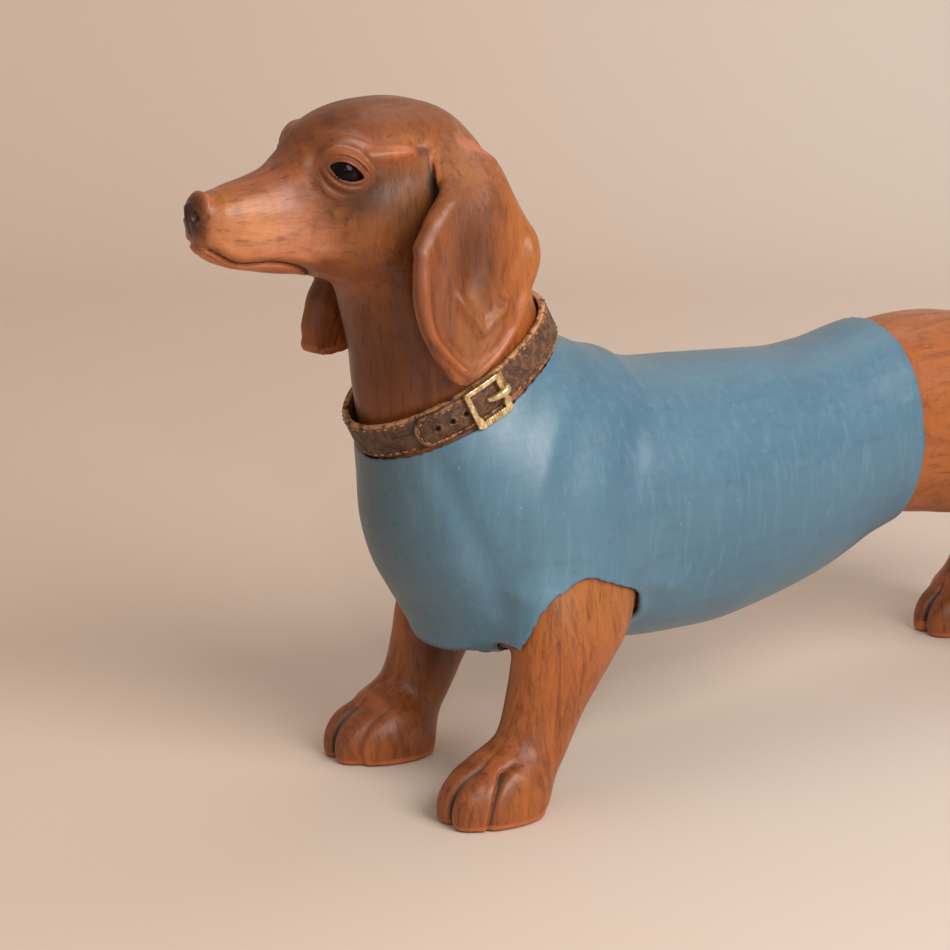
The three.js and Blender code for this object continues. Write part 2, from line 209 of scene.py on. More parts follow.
trunk = Sweep(upright([
    (-6, 116, 74, 24), (14, 135, 58, 34), (36, 146, 51.5, 39.5), (49, 147.6, 48, 40.5),
    (62, 142.2, 46, 40.5), (78, 138.8, 43.6, 40), (94, 137.6, 43, 38.8), (111, 136.8, 43.6, 37.5),
    (143, 135.2, 50.8, 34.5), (170, 136.2, 62.2, 32), (192, 140.3, 67.3, 31.5), (214, 141.4, 65.6, 33),
    (238, 136.8, 62.2, 34.5), (262, 133, 66, 35), (280, 126.5, 74, 31), (291, 118, 86, 22),
    (296, 108, 96, 9)]), p=2.1)
chest = Sweep([
    (28, 0, 52, 14, 16), (26, 0, 60, 30, 30), (24, 0, 82, 40.4, 39), (20, 0, 104, 43, 40.2),
    (13.4, 0, 126, 39.6, 35), (6.2, 0, 145.5, 36.6, 26.8), (2, 0, 153, 35, 26)])
neck = Sweep([
    (12, 0, 134, 38, 28), (6.4, 0, 145.5, 36.4, 26.6), (2.2, 0, 162, 33.8, 25.5),
    (-2.8, 0, 180, 32.3, 25), (-8, 0, 198, 31, 23), (-12, 0, 212, 22, 17)])
muzzle = Sweep(upright([
    (-22, 235, 187, 20), (-40, 231, 185.8, 19), (-52, 226, 185.2, 16.2), (-62, 221.9, 186.4, 13.8),
    (-72, 219, 188.6, 12.3), (-80, 217.6, 190.8, 11), (-86, 216.6, 194.6, 9.6), (-90, 214.8, 198.8, 7),
    (-92, 211.4, 202.5, 4)]), p=2.6)
front_leg = Sweep([
    (37, 28, 92, 16, 11), (35.6, 31.5, 78, 20.6, 13.2), (33, 34.4, 67, 23, 13.8),
    (28, 36.5, 56, 19.6, 13.8), (23.7, 37, 46, 16.7, 13), (20, 37, 37, 14.4, 12.2),
    (16.8, 37, 29, 13.3, 11.8), (12.6, 37.4, 21, 12.8, 11.8), (6, 38, 13, 12.6, 12)])
hind_leg = Sweep([
    (258, 17, 124, 14, 10), (260, 23, 110, 27, 15), (262, 28, 94, 29, 15.5), (267, 31.5, 78, 24.5, 14.2),
    (274, 33.5, 64, 18.5, 12.6), (282, 34.5, 50, 13.6, 11), (284, 35, 36, 12, 10.6),
    (278.8, 35, 24, 12.8, 11.6), (273.5, 35, 14, 12.6, 12)])
tail = Sweep([
    (280, 0, 124, 12, 12), (292, 0, 120.5, 10.6, 10.6), (303, 0, 114.5, 8.8, 8.6), (316, 0, 106, 7.4, 7),
    (330, 0, 97.5, 6, 5.7), (343, 0, 91, 4.8, 4.6), (351, 0, 88.5, 3.8, 3.6), (354.5, 0, 88, 2, 2)])
EAR_ROWS = [
    (-6, 11, 230, 5, 2.2), (-6, 16.6, 227.6, 9.2, 2.8), (-5.4, 22.4, 223.2, 11, 3.5),
    (-4.4, 27.4, 217.6, 13.2, 4.3), (-4.2, 31, 212, 15.6, 4.9), (-5, 34, 203, 22, 4.8),
    (-6.2, 35.8, 194, 26.2, 4.6), (-8.4, 37, 186, 25.4, 4.5), (-10, 38, 179, 24, 4.4),
    (-11.2, 38.6, 171, 21.2, 4.3), (-12.2, 38.9, 164, 17.2, 4.2), (-13.4, 38.9, 157.5, 12, 4),
    (-14.6, 38.8, 153.3, 6.5, 3.4), (-15, 38.7, 151.6, 3, 2.4)]
ear = Sweep(EAR_ROWS, p=2.5)

LEG_BLEND = 11  # how softly a leg runs into the trunk
FRONT_FOOT, HIND_FOOT = (0.2, 38.6), (271, 35.6)
FRONT_PAD, HIND_PAD = (1.5, 36.5), (271, 35)
RIGHT_BACK, RIGHT_IN = 1.6, 2.2  # the right feet stand this much further back and in


def limb(P, tube, margin=14):
    """A sweep, worked out only near itself."""
    places = tube.tab[:, :3]
    grow = (margin + tube.tab[:, 3:5].max(1))[:, None]
    return within(P, (places - grow).min(0), (places + grow).max(0), tube, 30.0)


def foot(P, x, y):
    return within(P, (x - 38, y - 34, -20), (x + 40, y + 34, 46), lambda Q: foot_shape(Q, x, y), 30.0)


TOE_GAPS = ((-9.8, 0.45), (1.8, 0.95))  # place across the foot from its middle, and depth
OUTER_DEPTH = 1.15
OUTER_ARCH_X, OUTER_ARCH_LENGTH, OUTER_ARCH_HEIGHT = 1.8, 14.4, 20.6


def toe_grooves(X, Y, Z):
    """The grooves between the toes: two run forwards down the foot, with a swell on each side of them,
    and one goes round the outer toe in an arch."""
    deep = 0
    for middle, depth in TOE_GAPS:
        aside = Y - middle
        swell = 0.25 * bell(aside + 2.2, 1.2) + 0.15 * bell(aside - 2.2, 1.2)
        deep = deep + depth * (bell(aside, 1.0) - swell)
    arch = ellipsoid((X, Y, Z), (OUTER_ARCH_X, 0, 0), (OUTER_ARCH_LENGTH, 999, OUTER_ARCH_HEIGHT))
    return deep * step(0.5, -2.5, X) + OUTER_DEPTH * bell(arch, 1.0) * step(3, 7, Y) * step(3, -1, X)


def foot_shape(P, x, y):
    """A foot with four toes, at x, y on the ground."""
    X, Y, Z = P[0] - x, P[1] - y, P[2]
    f = ellipsoid((X, Y, Z), (1.2, -0.9, 4.8), (16, 13.9, 15.6))
    for c, r, k in (((-9, -3.6, 4.8), (13.2, 7.2, 13.4), 5), ((-9, 6, 4.8), (12.8, 7, 13.4), 5),
                    ((-1.2, 9.6, 4.8), (11.2, 4.4, 12), 6), ((-1.5, -10, 4.8), (13, 5.4, 12), 6)):
        f = smin(f, ellipsoid((X, Y, Z), c, r, -10), k)
    return f + toe_grooves(X, Y, Z)


PAD_RADII, PAD_TOP = (15.5, 11.5), 2.5


def pad_room(P, x, y):
    """The recess in the sole that the pad sits in."""
    r = (np.hypot((P[0] - x) / (PAD_RADII[0] + GAP), (P[1] - y) / (PAD_RADII[1] + GAP)) - 1) * PAD_RADII[1]
    return np.maximum(r, P[2] - PAD_TOP - 0.1)


def body(P):
    """The trunk under the coat, without legs and tail, mirrored about y = 0."""
    P = (P[0], np.abs(P[1]), P[2])
    f = smin(trunk(P), chest(P), 9)
    f = smin(f, ellipsoid(P, (37, 25, 86), (22, 17, 31), -14), 9)
    f = smin(f, ellipsoid(P, (259, 17, 104), (33, 21, 32)), 10)
    # the ridge of the shoulder blade and the hollow behind it
    f = f - 1.5 * flank_arc(P, (80, 90), 69, -10, 48, 6) + 1.7 * flank_arc(P, (98, 95), 49, -34, 49, 7)
    return marked(f, P, [
        # upper arm, elbow and the hollow before the shoulder
        (-1.6, (8, 30, 112), (16, 14, 20)), (-1.2, (36, 42, 100), (13, 12, 20)),
        (1.3, [(-15, 26, 120), (-6, 34, 95), (5, 34, 70)], 5),
        # ribs and the folds by the elbow
        (-1.3, (78, 39, 108), (13, 12, 16)), (1.2, (72, 40, 80), (10, 10, 9)),
        (-1.1, [(62, 38, 72), (76, 34, 68), (90, 30, 66)], 3.5), (-0.8, [(31, 45, 88), (38, 44, 80)], 4),
        # flank and groin
        (-0.8, (100, 38, 92), (20, 12, 22)), (1.0, (205, 33, 84), (24, 12, 22))])


def skin(P):
    """The whole body, mirrored about y = 0 except for the places of the right feet."""
    right = step(0, 8, P[1])
    P = (P[0], np.abs(P[1]), P[2])
    at_feet = (P[0] - RIGHT_BACK * right, P[1] + RIGHT_IN * right, P[2])
    f = body(P)
    for tube, place in ((front_leg, FRONT_FOOT), (hind_leg, HIND_FOOT)):
        f = smin(f, smin(limb(P, tube), foot(at_feet, *place), 8), LEG_BLEND)
    f = f + 0.6 * blob(P, (8, 30, 26), (7, 20, 7))
    f = smin(f, limb(P, tail), 6)
    for x, y in (FRONT_PAD, HIND_PAD):
        room = within(P, (x - 20, y - 16, -9), (x + 20, y + 16, 8), lambda Q: pad_room(Q, x, y), 30.0)
        f = np.maximum(f, -room)
    return smax(f, 0.5 - P[2], 0.6)


# Collar ring: the CAD strap's plane, leaning up towards the nape
RING_TILT, RING_X, RING_Z, RING_A, RING_B = math.radians(28), 5.7, 145.5, 38.2, 27.2
STRAP_HALF, STRAP_THICK = 6.25, 2.4


def collar_local(P):
    """Distance along the ring's long axis, across it, and up the neck."""
    x, z = P[0] - RING_X, P[2] - RING_Z
    c, s = math.cos(RING_TILT), math.sin(RING_TILT)
    return x * c + z * s, P[1], z * c - x * s


HEM_X, HEM_LEAN = 190, math.radians(2)
COAT = 1.8
SLEEVE_LOW = 53.5
SLEEVE = (7, SLEEVE_LOW), (14.5, 72), (29.5, 80.5), (56.5, 69), (62, SLEEVE_LOW)  # corners in side view


def sleeve(P):
    """Distance to the opening about the top of each front leg: straight edges with rounded corners."""
    edges = []
    for (x0, z0), (x1, z1) in zip(SLEEVE, SLEEVE[1:]):
        across = (x1 - x0) * (P[2] - z0) - (z1 - z0) * (P[0] - x0)
        edges.append(across / math.hypot(x1 - x0, z1 - z0))
    d = edges[0]
    for edge in edges[1:]:
        d = smax(d, edge, 4)
    return np.maximum(d, 17 - np.abs(P[1]))


def coat_field(P):
    """A sheet over the trunk, cut at the hem, under the collar and round the front legs."""
    leg = limb((P[0], np.abs(P[1]), P[2]), front_leg)
    trunk_only = body(P)
    f = smin(trunk_only, leg, LEG_BLEND)
    shell = smax(f - COAT - GAP, GAP - f, 0.5)
    u, v, w = collar_local(P)
    hem = (P[0] - HEM_X) * math.cos(HEM_LEAN) + (P[2] - 100) * math.sin(HEM_LEAN)
    ring = np.hypot(u / (RING_A + STRAP_THICK + 0.6), v / (RING_B + STRAP_THICK + 0.6))
    nape = np.where((u > 5) & (np.abs(v) < 25), (1 - ring) * 30, 99)
    under = np.minimum(w + STRAP_HALF - 0.35, nape)
    f = smax(smax(shell, hem, 1.6), under, 1.4)
    opening = np.maximum(smin(sleeve(P), P[2] - SLEEVE_LOW, 2), 0.7 * (leg - trunk_only) - 1.4)
    return smax(f, -opening, 1.6)


EYE_LO, EYE_HI = node_box("right_eye")
EYE = (EYE_LO + EYE_HI) / 2
EYE_R = (EYE_HI - EYE_LO)[0] / 2
EYE_OUT = np.array([-0.56, 0.82, 0.10])
EYE_OUT /= np.linalg.norm(EYE_OUT)
EYE_ALONG = np.array([0.80, 0.56, -0.12])
EYE_ALONG -= EYE_OUT * (EYE_ALONG @ EYE_OUT)
EYE_ALONG /= np.linalg.norm(EYE_ALONG)
EYE_UP = np.cross(EYE_ALONG, EYE_OUT)
EYE_UP *= np.sign(EYE_UP[2])


def eye_local(P):
    d = [P[i] - EYE[i] for i in range(3)]
    return [sum(d[i] * axis[i] for i in range(3)) for axis in (EYE_ALONG, EYE_UP, EYE_OUT)]


def eye_opening(P):
    """Almond opening between the lids, seen along the eye's own axis."""
    s, t, out = eye_local(P)
    t = t + 0.16 * s
    upper = np.hypot(s - 0.8, t + 3.8) - 6.95
    lower = np.hypot(s - 1.3, t - 5.3) - 7.6
    return np.maximum(upper, lower)


def ears(P):
    """Both ears. The right one hangs a little lower, with its tip further forward."""
    x, y, z = P
    right = (y > 0) * step(226, 190, z)
    swing = 10.2 - 0.84 * np.clip(173 - z, 0, 30)
    return within((x - right * swing, np.abs(y), z + right * 3), (-60, 4, 130), (40, 60, 250), ear_field, 30.0)


def ear_field(P):
    """One ear: a flap with a rolled rim, folded in the middle, hanging from the skull."""
    s, u, v, a, b = ear.local(P)
    w = np.clip(u / a, -1.25, 1.25)
    v = v + 5.0 * np.maximum(w, 0) ** 2 * step(0, 30, s) - 1.5 * np.minimum(w, 0) ** 2
    r = s + 7
    # the rim's roll and the channel inside it, on the lower half
    rim = np.hypot(u / (a + 0.01), np.maximum(r - 67, 0) / 18)
    relief = step(38, 60, r) * (1.3 * bell(rim - 0.88, 0.11) - 1.2 * bell(rim - 0.66, 0.13))
    # a V-shaped fold near the tip, with hollows above and below it
    relief = relief + 2.2 * bell(np.abs(u - 2) * 0.9 + r - 68, 3.2) * (1 - step(8, 13, np.abs(u - 2)))
    hollow = bell(u + 5, 4.5) * bell(r - 53, 11) + 0.8 * bell(u - 10, 4.5) * bell(r - 51, 12)
    relief = relief - 1.5 * (hollow + 0.8 * bell(u - 2, 6) * bell(r - 75, 4))
    # a fold behind, the flap's rear corner and the front rim higher up
    relief = relief - 2.2 * bell(u - 14 - 0.25 * (45 - r), 4) * bell(r - 45, 10)
    relief = relief + 1.8 * bell(u - 21, 5) * bell(r - 42, 6)
    relief = relief + 0.5 * bell(u + a - 4, 3.5) * step(14, 26, r) * (1 - step(40, 54, r))
    return ear.section(s, u, v, a, b) - relief * step(-1, 2, v)


def head_core(P):
    f = smin(neck(P), ellipsoid(P, (-22, 0, 212.2), (39, 25, 29.4)), 12)
    f = smin(f, muzzle(P), 6)
    f = smin(f, ellipsoid(P, (-24, 0, 199), (30, 22.5, 16.5)), 8)
    f = smin(f, ellipsoid(P, (-36, 0, 221), (18, 18.5, 15.5)), 8)
    return smin(f, ellipsoid(P, (-44, 13.6, 226.2), (8.4, 5.4, 5.8)), 3)


def with_ears(f, P, both):
    """The head with its ears, soft where they leave the skull and crisp along the front and lower edges."""
    x, _, z = P
    low = 1 - step(200, 216, z)
    k = 1.0 + 4 * step(224.5, 229, z) + 3.5 * step(0, 16, x) * low
    k = k + 4 * (1 - low) * step(-15, -6, x) * step(229, 224.5, z)
    front_edge = [(x - a - 0.5, min(y + 5, 29.5), z) for x, y, z, a, _ in EAR_ROWS[2:7]]
    return marked(smin(f, both, k), P, [(1.6, front_edge, 1.5), (1.9, (5, 18, 227), (9, 11, 6))])


def with_eyelids(f, P):
    """Lids rolled round the eye's opening, the sockets' folds, and the room for the glass ball."""
    opening = eye_opening(P)
    s, t, out = eye_local(P)
    ball = np.sqrt(s * s + t * t + out * out) - EYE_R
    front = step(0, 3, out) * step(14, 11, np.abs(s))
    f = smin(f, np.sqrt((s - 1.0) ** 2 * 0.8 + t * t + out * out) - EYE_R - 0.4, 4.0)
    over, under = front * step(-1, 1.5, t), front * step(0.5, -1.5, t)
    f = f + over * (0.7 * bell(opening - 1.7, 0.6) * step(-6, 0, s) - 0.35 * bell(opening - 3.0, 0.9))
    f = f + over * 0.6 * bell(opening - 4.6, 1.3) * step(-7, -1, s)
    f = f + under * 0.3 * (bell(opening - 1.5, 0.5) - bell(opening - 2.7, 0.9)) * step(9, 4, s)
    f = f + under * (0.45 * bell(opening - 4.5, 1.0) - 0.15 * bell(opening - 6.4, 1.1)) * step(6, 0, s)
    f = marked(f, P, [(0.5, [(-38.5, 24, 218.5), (-36, 25, 217), (-33, 26, 216.5)], 0.8),
                      (0.4, [(-39, 24, 216.5), (-37, 25, 214.5), (-34, 26, 213.5)], 0.8)])
    return np.maximum(smax(f, -np.maximum(opening, 1.5 - out), 0.5), 0.05 - ball)


def with_nose(f, P):
    """Nose pad, nostrils and the line under it."""
    f = smin(f, ellipsoid(P, (-88.2, 0, 209.6), (4.9, 5.0, 4.8)), 4.5)
    f = smax(f, -ellipsoid(P, (-92.8, 3.3, 209.2), (1.7, 1.1, 1.7)), 0.6)
    return marked(f, P, [(0.8, [(-92.6, 4, 208.6), (-91.2, 5.6, 208.2), (-89.8, 6.6, 209)], 0.8),
                         (0.7, [(-93.4, 0, 211), (-93.4, 0, 206), (-92.6, 0, 201), (-91.5, 0, 198)], 0.8)])


MOUTH_Z, MOUTH_RISE, MOUTH_FALL = 193, 9.2, 7.6


def mouth_line(x):
    """The mouth's height: level along the muzzle, up to the nose and down to the corner."""
    return MOUTH_Z + MOUTH_RISE * step(-77, -98, x) - MOUTH_FALL * (np.maximum(x + 71, 0) / 21) ** 2


def mouth_cut(Q):
    """A cut between the lips with the upper lip rolled over it. Q[2] is the height above the cut."""
    x, _, rise = Q
    lips = step(-91, -84, x) * (0.8 * bell(rise - 2.6, 2.2) + 0.1 * bell(rise + 1.9, 1.0))
    chin = 0.45 * step(-50, -56, x) * step(-93, -89, x) * step(0, -1.2, rise) * (rise < 3)
    return step(-49, -54, x) * (1.6 * bell(rise, 0.75) - lips) * (rise > -9) + chin


def with_mouth(f, P):
    """The cut, the lip's corner and the fold behind it, and whisker dots."""
    rise = P[2] - mouth_line(P[0])
    f = f + within((P[0], P[1], rise), (-99, -1, -12), (-46, 30, 12), mouth_cut)
    dots = []
    for k in range(6):
        x, y, z = -68 - 1.5 * k, 11.6 - 0.3 * k, 203 + k % 3
        dots.append((0.3, [(x, y, z), (x + 3, y + 0.8, z - 2.5)], 0.45))
    return marked(f, P, [(-1.7, (-53, 15.6, 194.6), (6, 5, 3.2)),
                         (1.0, [(-56, 13, 189), (-52, 15, 186.5), (-48, 17, 185)], 1.5),
                         (0.6, [(-47, 18, 184.8), (-38, 22, 186), (-28, 25, 187)], 1.3)] + dots)


def head_skin(P):
    """Head, neck and ears."""
    both = ears(P)
    P = (P[0], np.abs(P[1]), P[2])
    f = marked(head_core(P), P, [
        # cheek, below the eye, the ridge from the eye to the ear, the temple
        (-1.5, (-34, 21, 206), (11, 9, 8)), (1.2, (-50, 19, 207), (7, 6, 7)),
        (-1.8, [(-38, 21.5, 226), (-28, 23.5, 226.5), (-17, 26.5, 227)], 2.3),
        (1.7, (-28, 28, 219), (9, 6, 5)),
        # sides of the muzzle, the stop, the furrow of the skull
        (1.3, (-60, 14, 216), (12, 6, 5)), (1.0, (-57, 0, 226.5), (8, 8, 6)), (0.8, (-22, 0, 241), (26, 4, 9)),
        # the eye's inner corner and the brow
        (2.4, (-53, 13, 224.5), (3.6, 4.2, 4.4)),
        (-0.9, [(-50.5, 9, 231), (-45, 15.5, 232.6), (-38, 20, 229.5)], 2.3),
        (1.6, (-51.2, 17, 226), (3.0, 3.4, 2.8))])
    f = with_mouth(with_nose(with_eyelids(with_ears(f, P, both), P), P), P)
    # long muscles down the neck
    return marked(f, P, [(-1.2, [(-30, 12, 178), (-26, 17, 160), (-22, 18, 142)], 5),
                         (0.9, [(-20, 24, 182), (-14, 25, 165), (-8, 27, 150)], 4.5)])


# ---------------------------------------------------------------- meshes from fields

BLOCK = 4


def surface(field, lo, hi, h):
    """Vertices and triangles of the zero surface, found on a grid of spacing h and then moved onto it exactly."""
    h = h * 1
    lo, hi = np.array(lo, float), np.array(hi, float)
    n = np.ceil((hi - lo) / (BLOCK * h)).astype(int)
    ix = np.indices(n).reshape(3, -1)
    rough = evaluate(field, (lo[:, None] + (ix + 0.5) * BLOCK * h).T)
    full = np.repeat(np.repeat(np.repeat(rough.reshape(n), BLOCK, 0), BLOCK, 1), BLOCK, 2).astype(np.float32)
    close = ix[:, np.abs(rough) < BLOCK * h * 1.25]
    cell = np.indices((BLOCK,) * 3).reshape(3, -1)
    at = (close[:, :, None] * BLOCK + cell[:, None, :]).reshape(3, -1)
    full[at[0], at[1], at[2]] = evaluate(field, (lo[:, None] + (at + 0.5) * h).T)
    grid = openvdb.FloatGrid(4 * h)
    grid.copyFromArray(full)
    points, quads = grid.convertToQuads(0.0)
    v = points.astype(float) * h + lo + 0.5 * h
    for _ in range(2):
        g, f = gradient(field, v, 0.25 * h)
        v -= g * np.clip(f / np.maximum((g * g).sum(1), 0.2), -0.5 * h, 0.5 * h)[:, None]
    quads = quads.astype(int)
    corner = v[quads]
    short = ((corner[:, 0] - corner[:, 2]) ** 2).sum(1) < ((corner[:, 1] - corner[:, 3]) ** 2).sum(1)
    return largest(v, np.vstack([quads[short][:, [0, 1, 2]], quads[short][:, [0, 2, 3]],
                                 quads[~short][:, [0, 1, 3]], quads[~short][:, [1, 2, 3]]]))


def relaxed(verts, tris, rounds):
    """Each vertex drawn towards its neighbours, which evens the cut edges of a thin sheet."""
    ends = np.vstack([tris[:, [0, 1]], tris[:, [1, 2]], tris[:, [2, 0]]])
    ends = np.vstack([ends, ends[:, ::-1]])
    count = np.maximum(np.bincount(ends[:, 0], minlength=len(verts)), 1)[:, None]
    for _ in range(rounds):
        sums = [np.bincount(ends[:, 0], verts[ends[:, 1], i], len(verts)) for i in range(3)]
        verts = verts + 0.5 * (np.stack(sums, 1) / count - verts)
    return verts, tris


def evaluate(field, v):
    return field([np.ascontiguousarray(v[:, i], dtype=np.float32) for i in range(3)])


def gradient(field, v, e):
    """The field's slope and value at each point."""
    f = evaluate(field, v)
    return np.stack([(evaluate(field, v + d) - f) / e for d in np.eye(3) * e], 1), f


def normals(field, v, e=0.3):
    g = np.stack([evaluate(field, v + d) - evaluate(field, v - d) for d in np.eye(3) * e], 1)
    return g / (np.linalg.norm(g, axis=1)[:, None] + 1e-9)


def largest(verts, tris):
    """Only the largest connected body."""
    parent = np.arange(len(verts))
    for _ in range(200):
        low = parent[tris].min(1)
        new = parent.copy()
        np.minimum.at(new, tris.ravel(), np.repeat(low, 3))
        new = new[new]
        if (new == parent).all():
            break
        parent = new
    labels, counts = np.unique(parent, return_counts=True)
    keep = parent == labels[counts.argmax()]
    return compact(verts, tris[keep[tris].all(1)])


def compact(verts, tris):
    used = np.zeros(len(verts), bool)
    used[tris.ravel()] = True
    return verts[used], (np.cumsum(used) - 1)[tris]


def parted(verts, tris, side, centre):
    """Two closed bodies, where side is below zero and above. Both close on the same cone to the centre."""
    side = np.where(np.abs(side) < 1e-4, 1e-4, side)
    over = side > 0
    count = over[tris].sum(1)
    parts = {False: [tris[count == 0]], True: [tris[count == 3]]}
    mixed = tris[(count == 1) | (count == 2)]
    lone = over[mixed] == (over[mixed].sum(1) == 1)[:, None]
    first = lone.argmax(1)
    row = np.arange(len(mixed))
    l, p, q = mixed[row, first], mixed[row, (first + 1) % 3], mixed[row, (first + 2) % 3]
    edges = np.vstack([np.sort(np.stack([l, p], 1), 1), np.sort(np.stack([l, q], 1), 1)])
    unique, back = np.unique(edges, axis=0, return_inverse=True)
    back = back.reshape(-1)
    t = side[unique[:, 0]] / (side[unique[:, 0]] - side[unique[:, 1]])
    t = np.clip(t, 0.02, 0.98)[:, None]
    cut = verts[unique[:, 0]] * (1 - t) + verts[unique[:, 1]] * t
    m1, m2 = len(verts) + back[:len(mixed)], len(verts) + back[len(mixed):]
    tip = np.full(len(mixed), len(verts) + len(unique))
    for flag in (False, True):
        is_lone = over[l] == flag
        a = np.stack([l, m1, m2], 1)[is_lone]
        b = np.vstack([np.stack([m1, p, q], 1)[~is_lone], np.stack([m1, q, m2], 1)[~is_lone]])
        cap = np.vstack([np.stack([m2, m1, tip], 1)[is_lone], np.stack([m1, m2, tip], 1)[~is_lone]])
        parts[flag] += [a, b, cap]
    everything = np.vstack([verts, cut, np.array(centre, float)[None]])
    return [compact(everything, np.vstack(parts[flag])) for flag in (False, True)]


def make_mesh(name, verts, faces, *nodes, normal=None):
    """A mesh object from vertices in millimetres, standing for the nodes when there are any."""
    me = bpy.data.meshes.new(name)
    faces = np.asarray(faces)
    me.vertices.add(len(verts))
    me.vertices.foreach_set("co", ((verts + ORIGIN) * MM).astype(np.float32).ravel())
    me.loops.add(faces.size)
    me.loops.foreach_set("vertex_index", faces.ravel().astype(np.int32))
    me.polygons.add(len(faces))
    me.polygons.foreach_set("loop_start", np.arange(0, faces.size, faces.shape[1], dtype=np.int32))
    me.update(calc_edges=True)
    me.validate()
    me.shade_smooth()
    if normal is not None:
        me.normals_split_custom_set_from_vertices(normal.tolist())
    ob = bpy.data.objects.new(name, me)
    bpy.context.scene.collection.objects.link(ob)
    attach(ob, "root")
    if nodes:
        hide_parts(*nodes)
    return ob


def attribute(ob, name, values):
    kind = "FLOAT_COLOR" if values.ndim == 2 else "FLOAT"
    a = ob.data.attributes.new(name, kind, "POINT")
    if values.ndim == 2:
        a.data.foreach_set("color", np.hstack([values, np.ones((len(values), 1))]).astype(np.float32).ravel())
    else:
        a.data.foreach_set("value", values.astype(np.float32))


def sculpted(name, part, field, *nodes):
    """A piece from part of a field's surface, with how hollow and how proud each point of it is."""
    v, t = part
    n = normals(field, v)
    ob = make_mesh(name, v, t, *nodes, normal=n)
    attribute(ob, "crease", np.clip(1 - evaluate(field, v + n * 2.2) / 2.2, 0, 1))
    attribute(ob, "hollow", np.clip(1 - evaluate(field, v + n * 7) / 7, 0, 1))
    attribute(ob, "proud", np.clip(1 + evaluate(field, v - n * 2.5) / 2.5, 0, 1))
    return ob


def verts_mm(ob):
    co = np.empty(len(ob.data.vertices) * 3, np.float32)
    ob.data.vertices.foreach_get("co", co)
    return co.reshape(-1, 3).astype(float) / MM - ORIGIN


# ---------------------------------------------------------------- the fired body

def side_of_ring(P):
    """Below zero under the middle of the collar, above zero up the neck."""
    return collar_local(P)[2]


FRONT_CUT = 183.0
SIDES = (("left", -1), ("right", 1))


def hind_part(P):
    """Below zero in the hind leg, thigh and foot on one side."""
    lower = np.maximum.reduce([P[2] - 64, 12 - P[1], 230 - P[0]])
    return np.minimum(ellipsoid(P, (262, 42, 80), (36, 24, 40)), lower)


def leg_room(P):
    """Below zero in the front legs, from just inside the coat's sleeves down."""
    return np.minimum(sleeve(P) - 1.8, np.maximum(P[2] - 56, 20 - np.abs(P[1])))


def front_torso(P):
    """What shows of the front of the trunk past the coat, a little inside the skin."""
    return np.maximum.reduce([skin(P) + 0.4, P[0] - FRONT_CUT, side_of_ring(P), -leg_room(P) + 0.4])


def body_pieces():
    pieces = []
    rear = surface(lambda P: np.maximum(skin(P), FRONT_CUT - P[0]), (180, -53, -2), (360, 53, 150), 0.8)
    for name, sign in SIDES:
        v = rear[0]
        side = hind_part([v[:, 0], sign * v[:, 1], v[:, 2]])
        leg, rear = parted(*rear, side, (264, sign * 24, 74))
        pieces.append(sculpted(f"hind_{name}_leg_body", leg, skin, f"hind_{name}_leg"))
    v = rear[0]
    tail_part, rump = parted(*rear, 294 + 0.4 * (v[:, 2] - 118) - v[:, 0], (288, 0, 116))
    front = surface(front_torso, (-32, -50, 34), (190, 50, 172), 2.4)
    pieces.append(sculpted("tail_body", tail_part, skin, "tail"))
    pieces.append(sculpted("torso_body", joined([rump, front]), skin, "torso"))
    for name, sign in SIDES:
        lo, hi = sorted((sign * 12, sign * 58))
        leg = surface(lambda P: np.maximum(skin(P), leg_room(P)), (-26, lo, -2), (72, hi, 92), 0.65)
        pieces.append(sculpted(f"front_{name}_leg_body", leg, skin, f"front_{name}_leg"))
    return pieces


def head_pieces():
    pieces = []
    head = surface(lambda P: np.maximum(head_skin(P), 0.1 - side_of_ring(P)),
                   (-98, -50, 118), (56, 50, 248), 0.64)
    for name, sign in SIDES:
        v = head[0]
        side = np.where(sign * v[:, 1] > 0, ears([v[:, 0], v[:, 1], v[:, 2]]) - 0.5, 5)
        flap, head = parted(*head, side, (-8, sign * 24, 196))
        pieces.append(sculpted(f"{name}_ear_flap", flap, head_skin, f"{name}_ear"))
    return pieces + [sculpted("head_body", head, head_skin, "head")]


def coat_piece():
    sheet = surface(coat_field, (-32, -50, 34), (200, 50, 172), 1.3)
    return sculpted("coat_body", relaxed(*sheet, 5), coat_field, "coat")


# ---------------------------------------------------------------- small pieces

def grid_faces(rows, cols, closed_rows=False):
    """Quads of a rows x cols grid of points that closes round its columns."""
    r = np.arange(rows if closed_rows else rows - 1)[:, None]
    c = np.arange(cols)[None]
    row, below, beside = r * cols, (r + 1) % rows * cols, (c + 1) % cols
    return np.stack([row + c, row + beside, below + beside, below + c], -1).reshape(-1, 4)


def closed_tube(rings):
    """Rings of points joined into a tube, with its ends closed on their middles."""
    n, m = len(rings), len(rings[0])
    v = np.vstack([np.vstack(rings), rings[0].mean(0)[None], rings[-1].mean(0)[None]])
    c = np.arange(m)
    quads = grid_faces(n, m)
    tris = np.vstack([quads[:, [0, 1, 2]], quads[:, [0, 2, 3]],
                      np.stack([(c + 1) % m, c, np.full(m, n * m)], 1),
                      np.stack([(n - 1) * m + c, (n - 1) * m + (c + 1) % m, np.full(m, n * m + 1)], 1)])
    return v, tris


def joined(bodies):
    verts, tris, start = [], [], 0
    for v, t in bodies:
        verts.append(v)
        tris.append(t + start)
        start += len(v)
    return np.vstack(verts), np.vstack(tris)


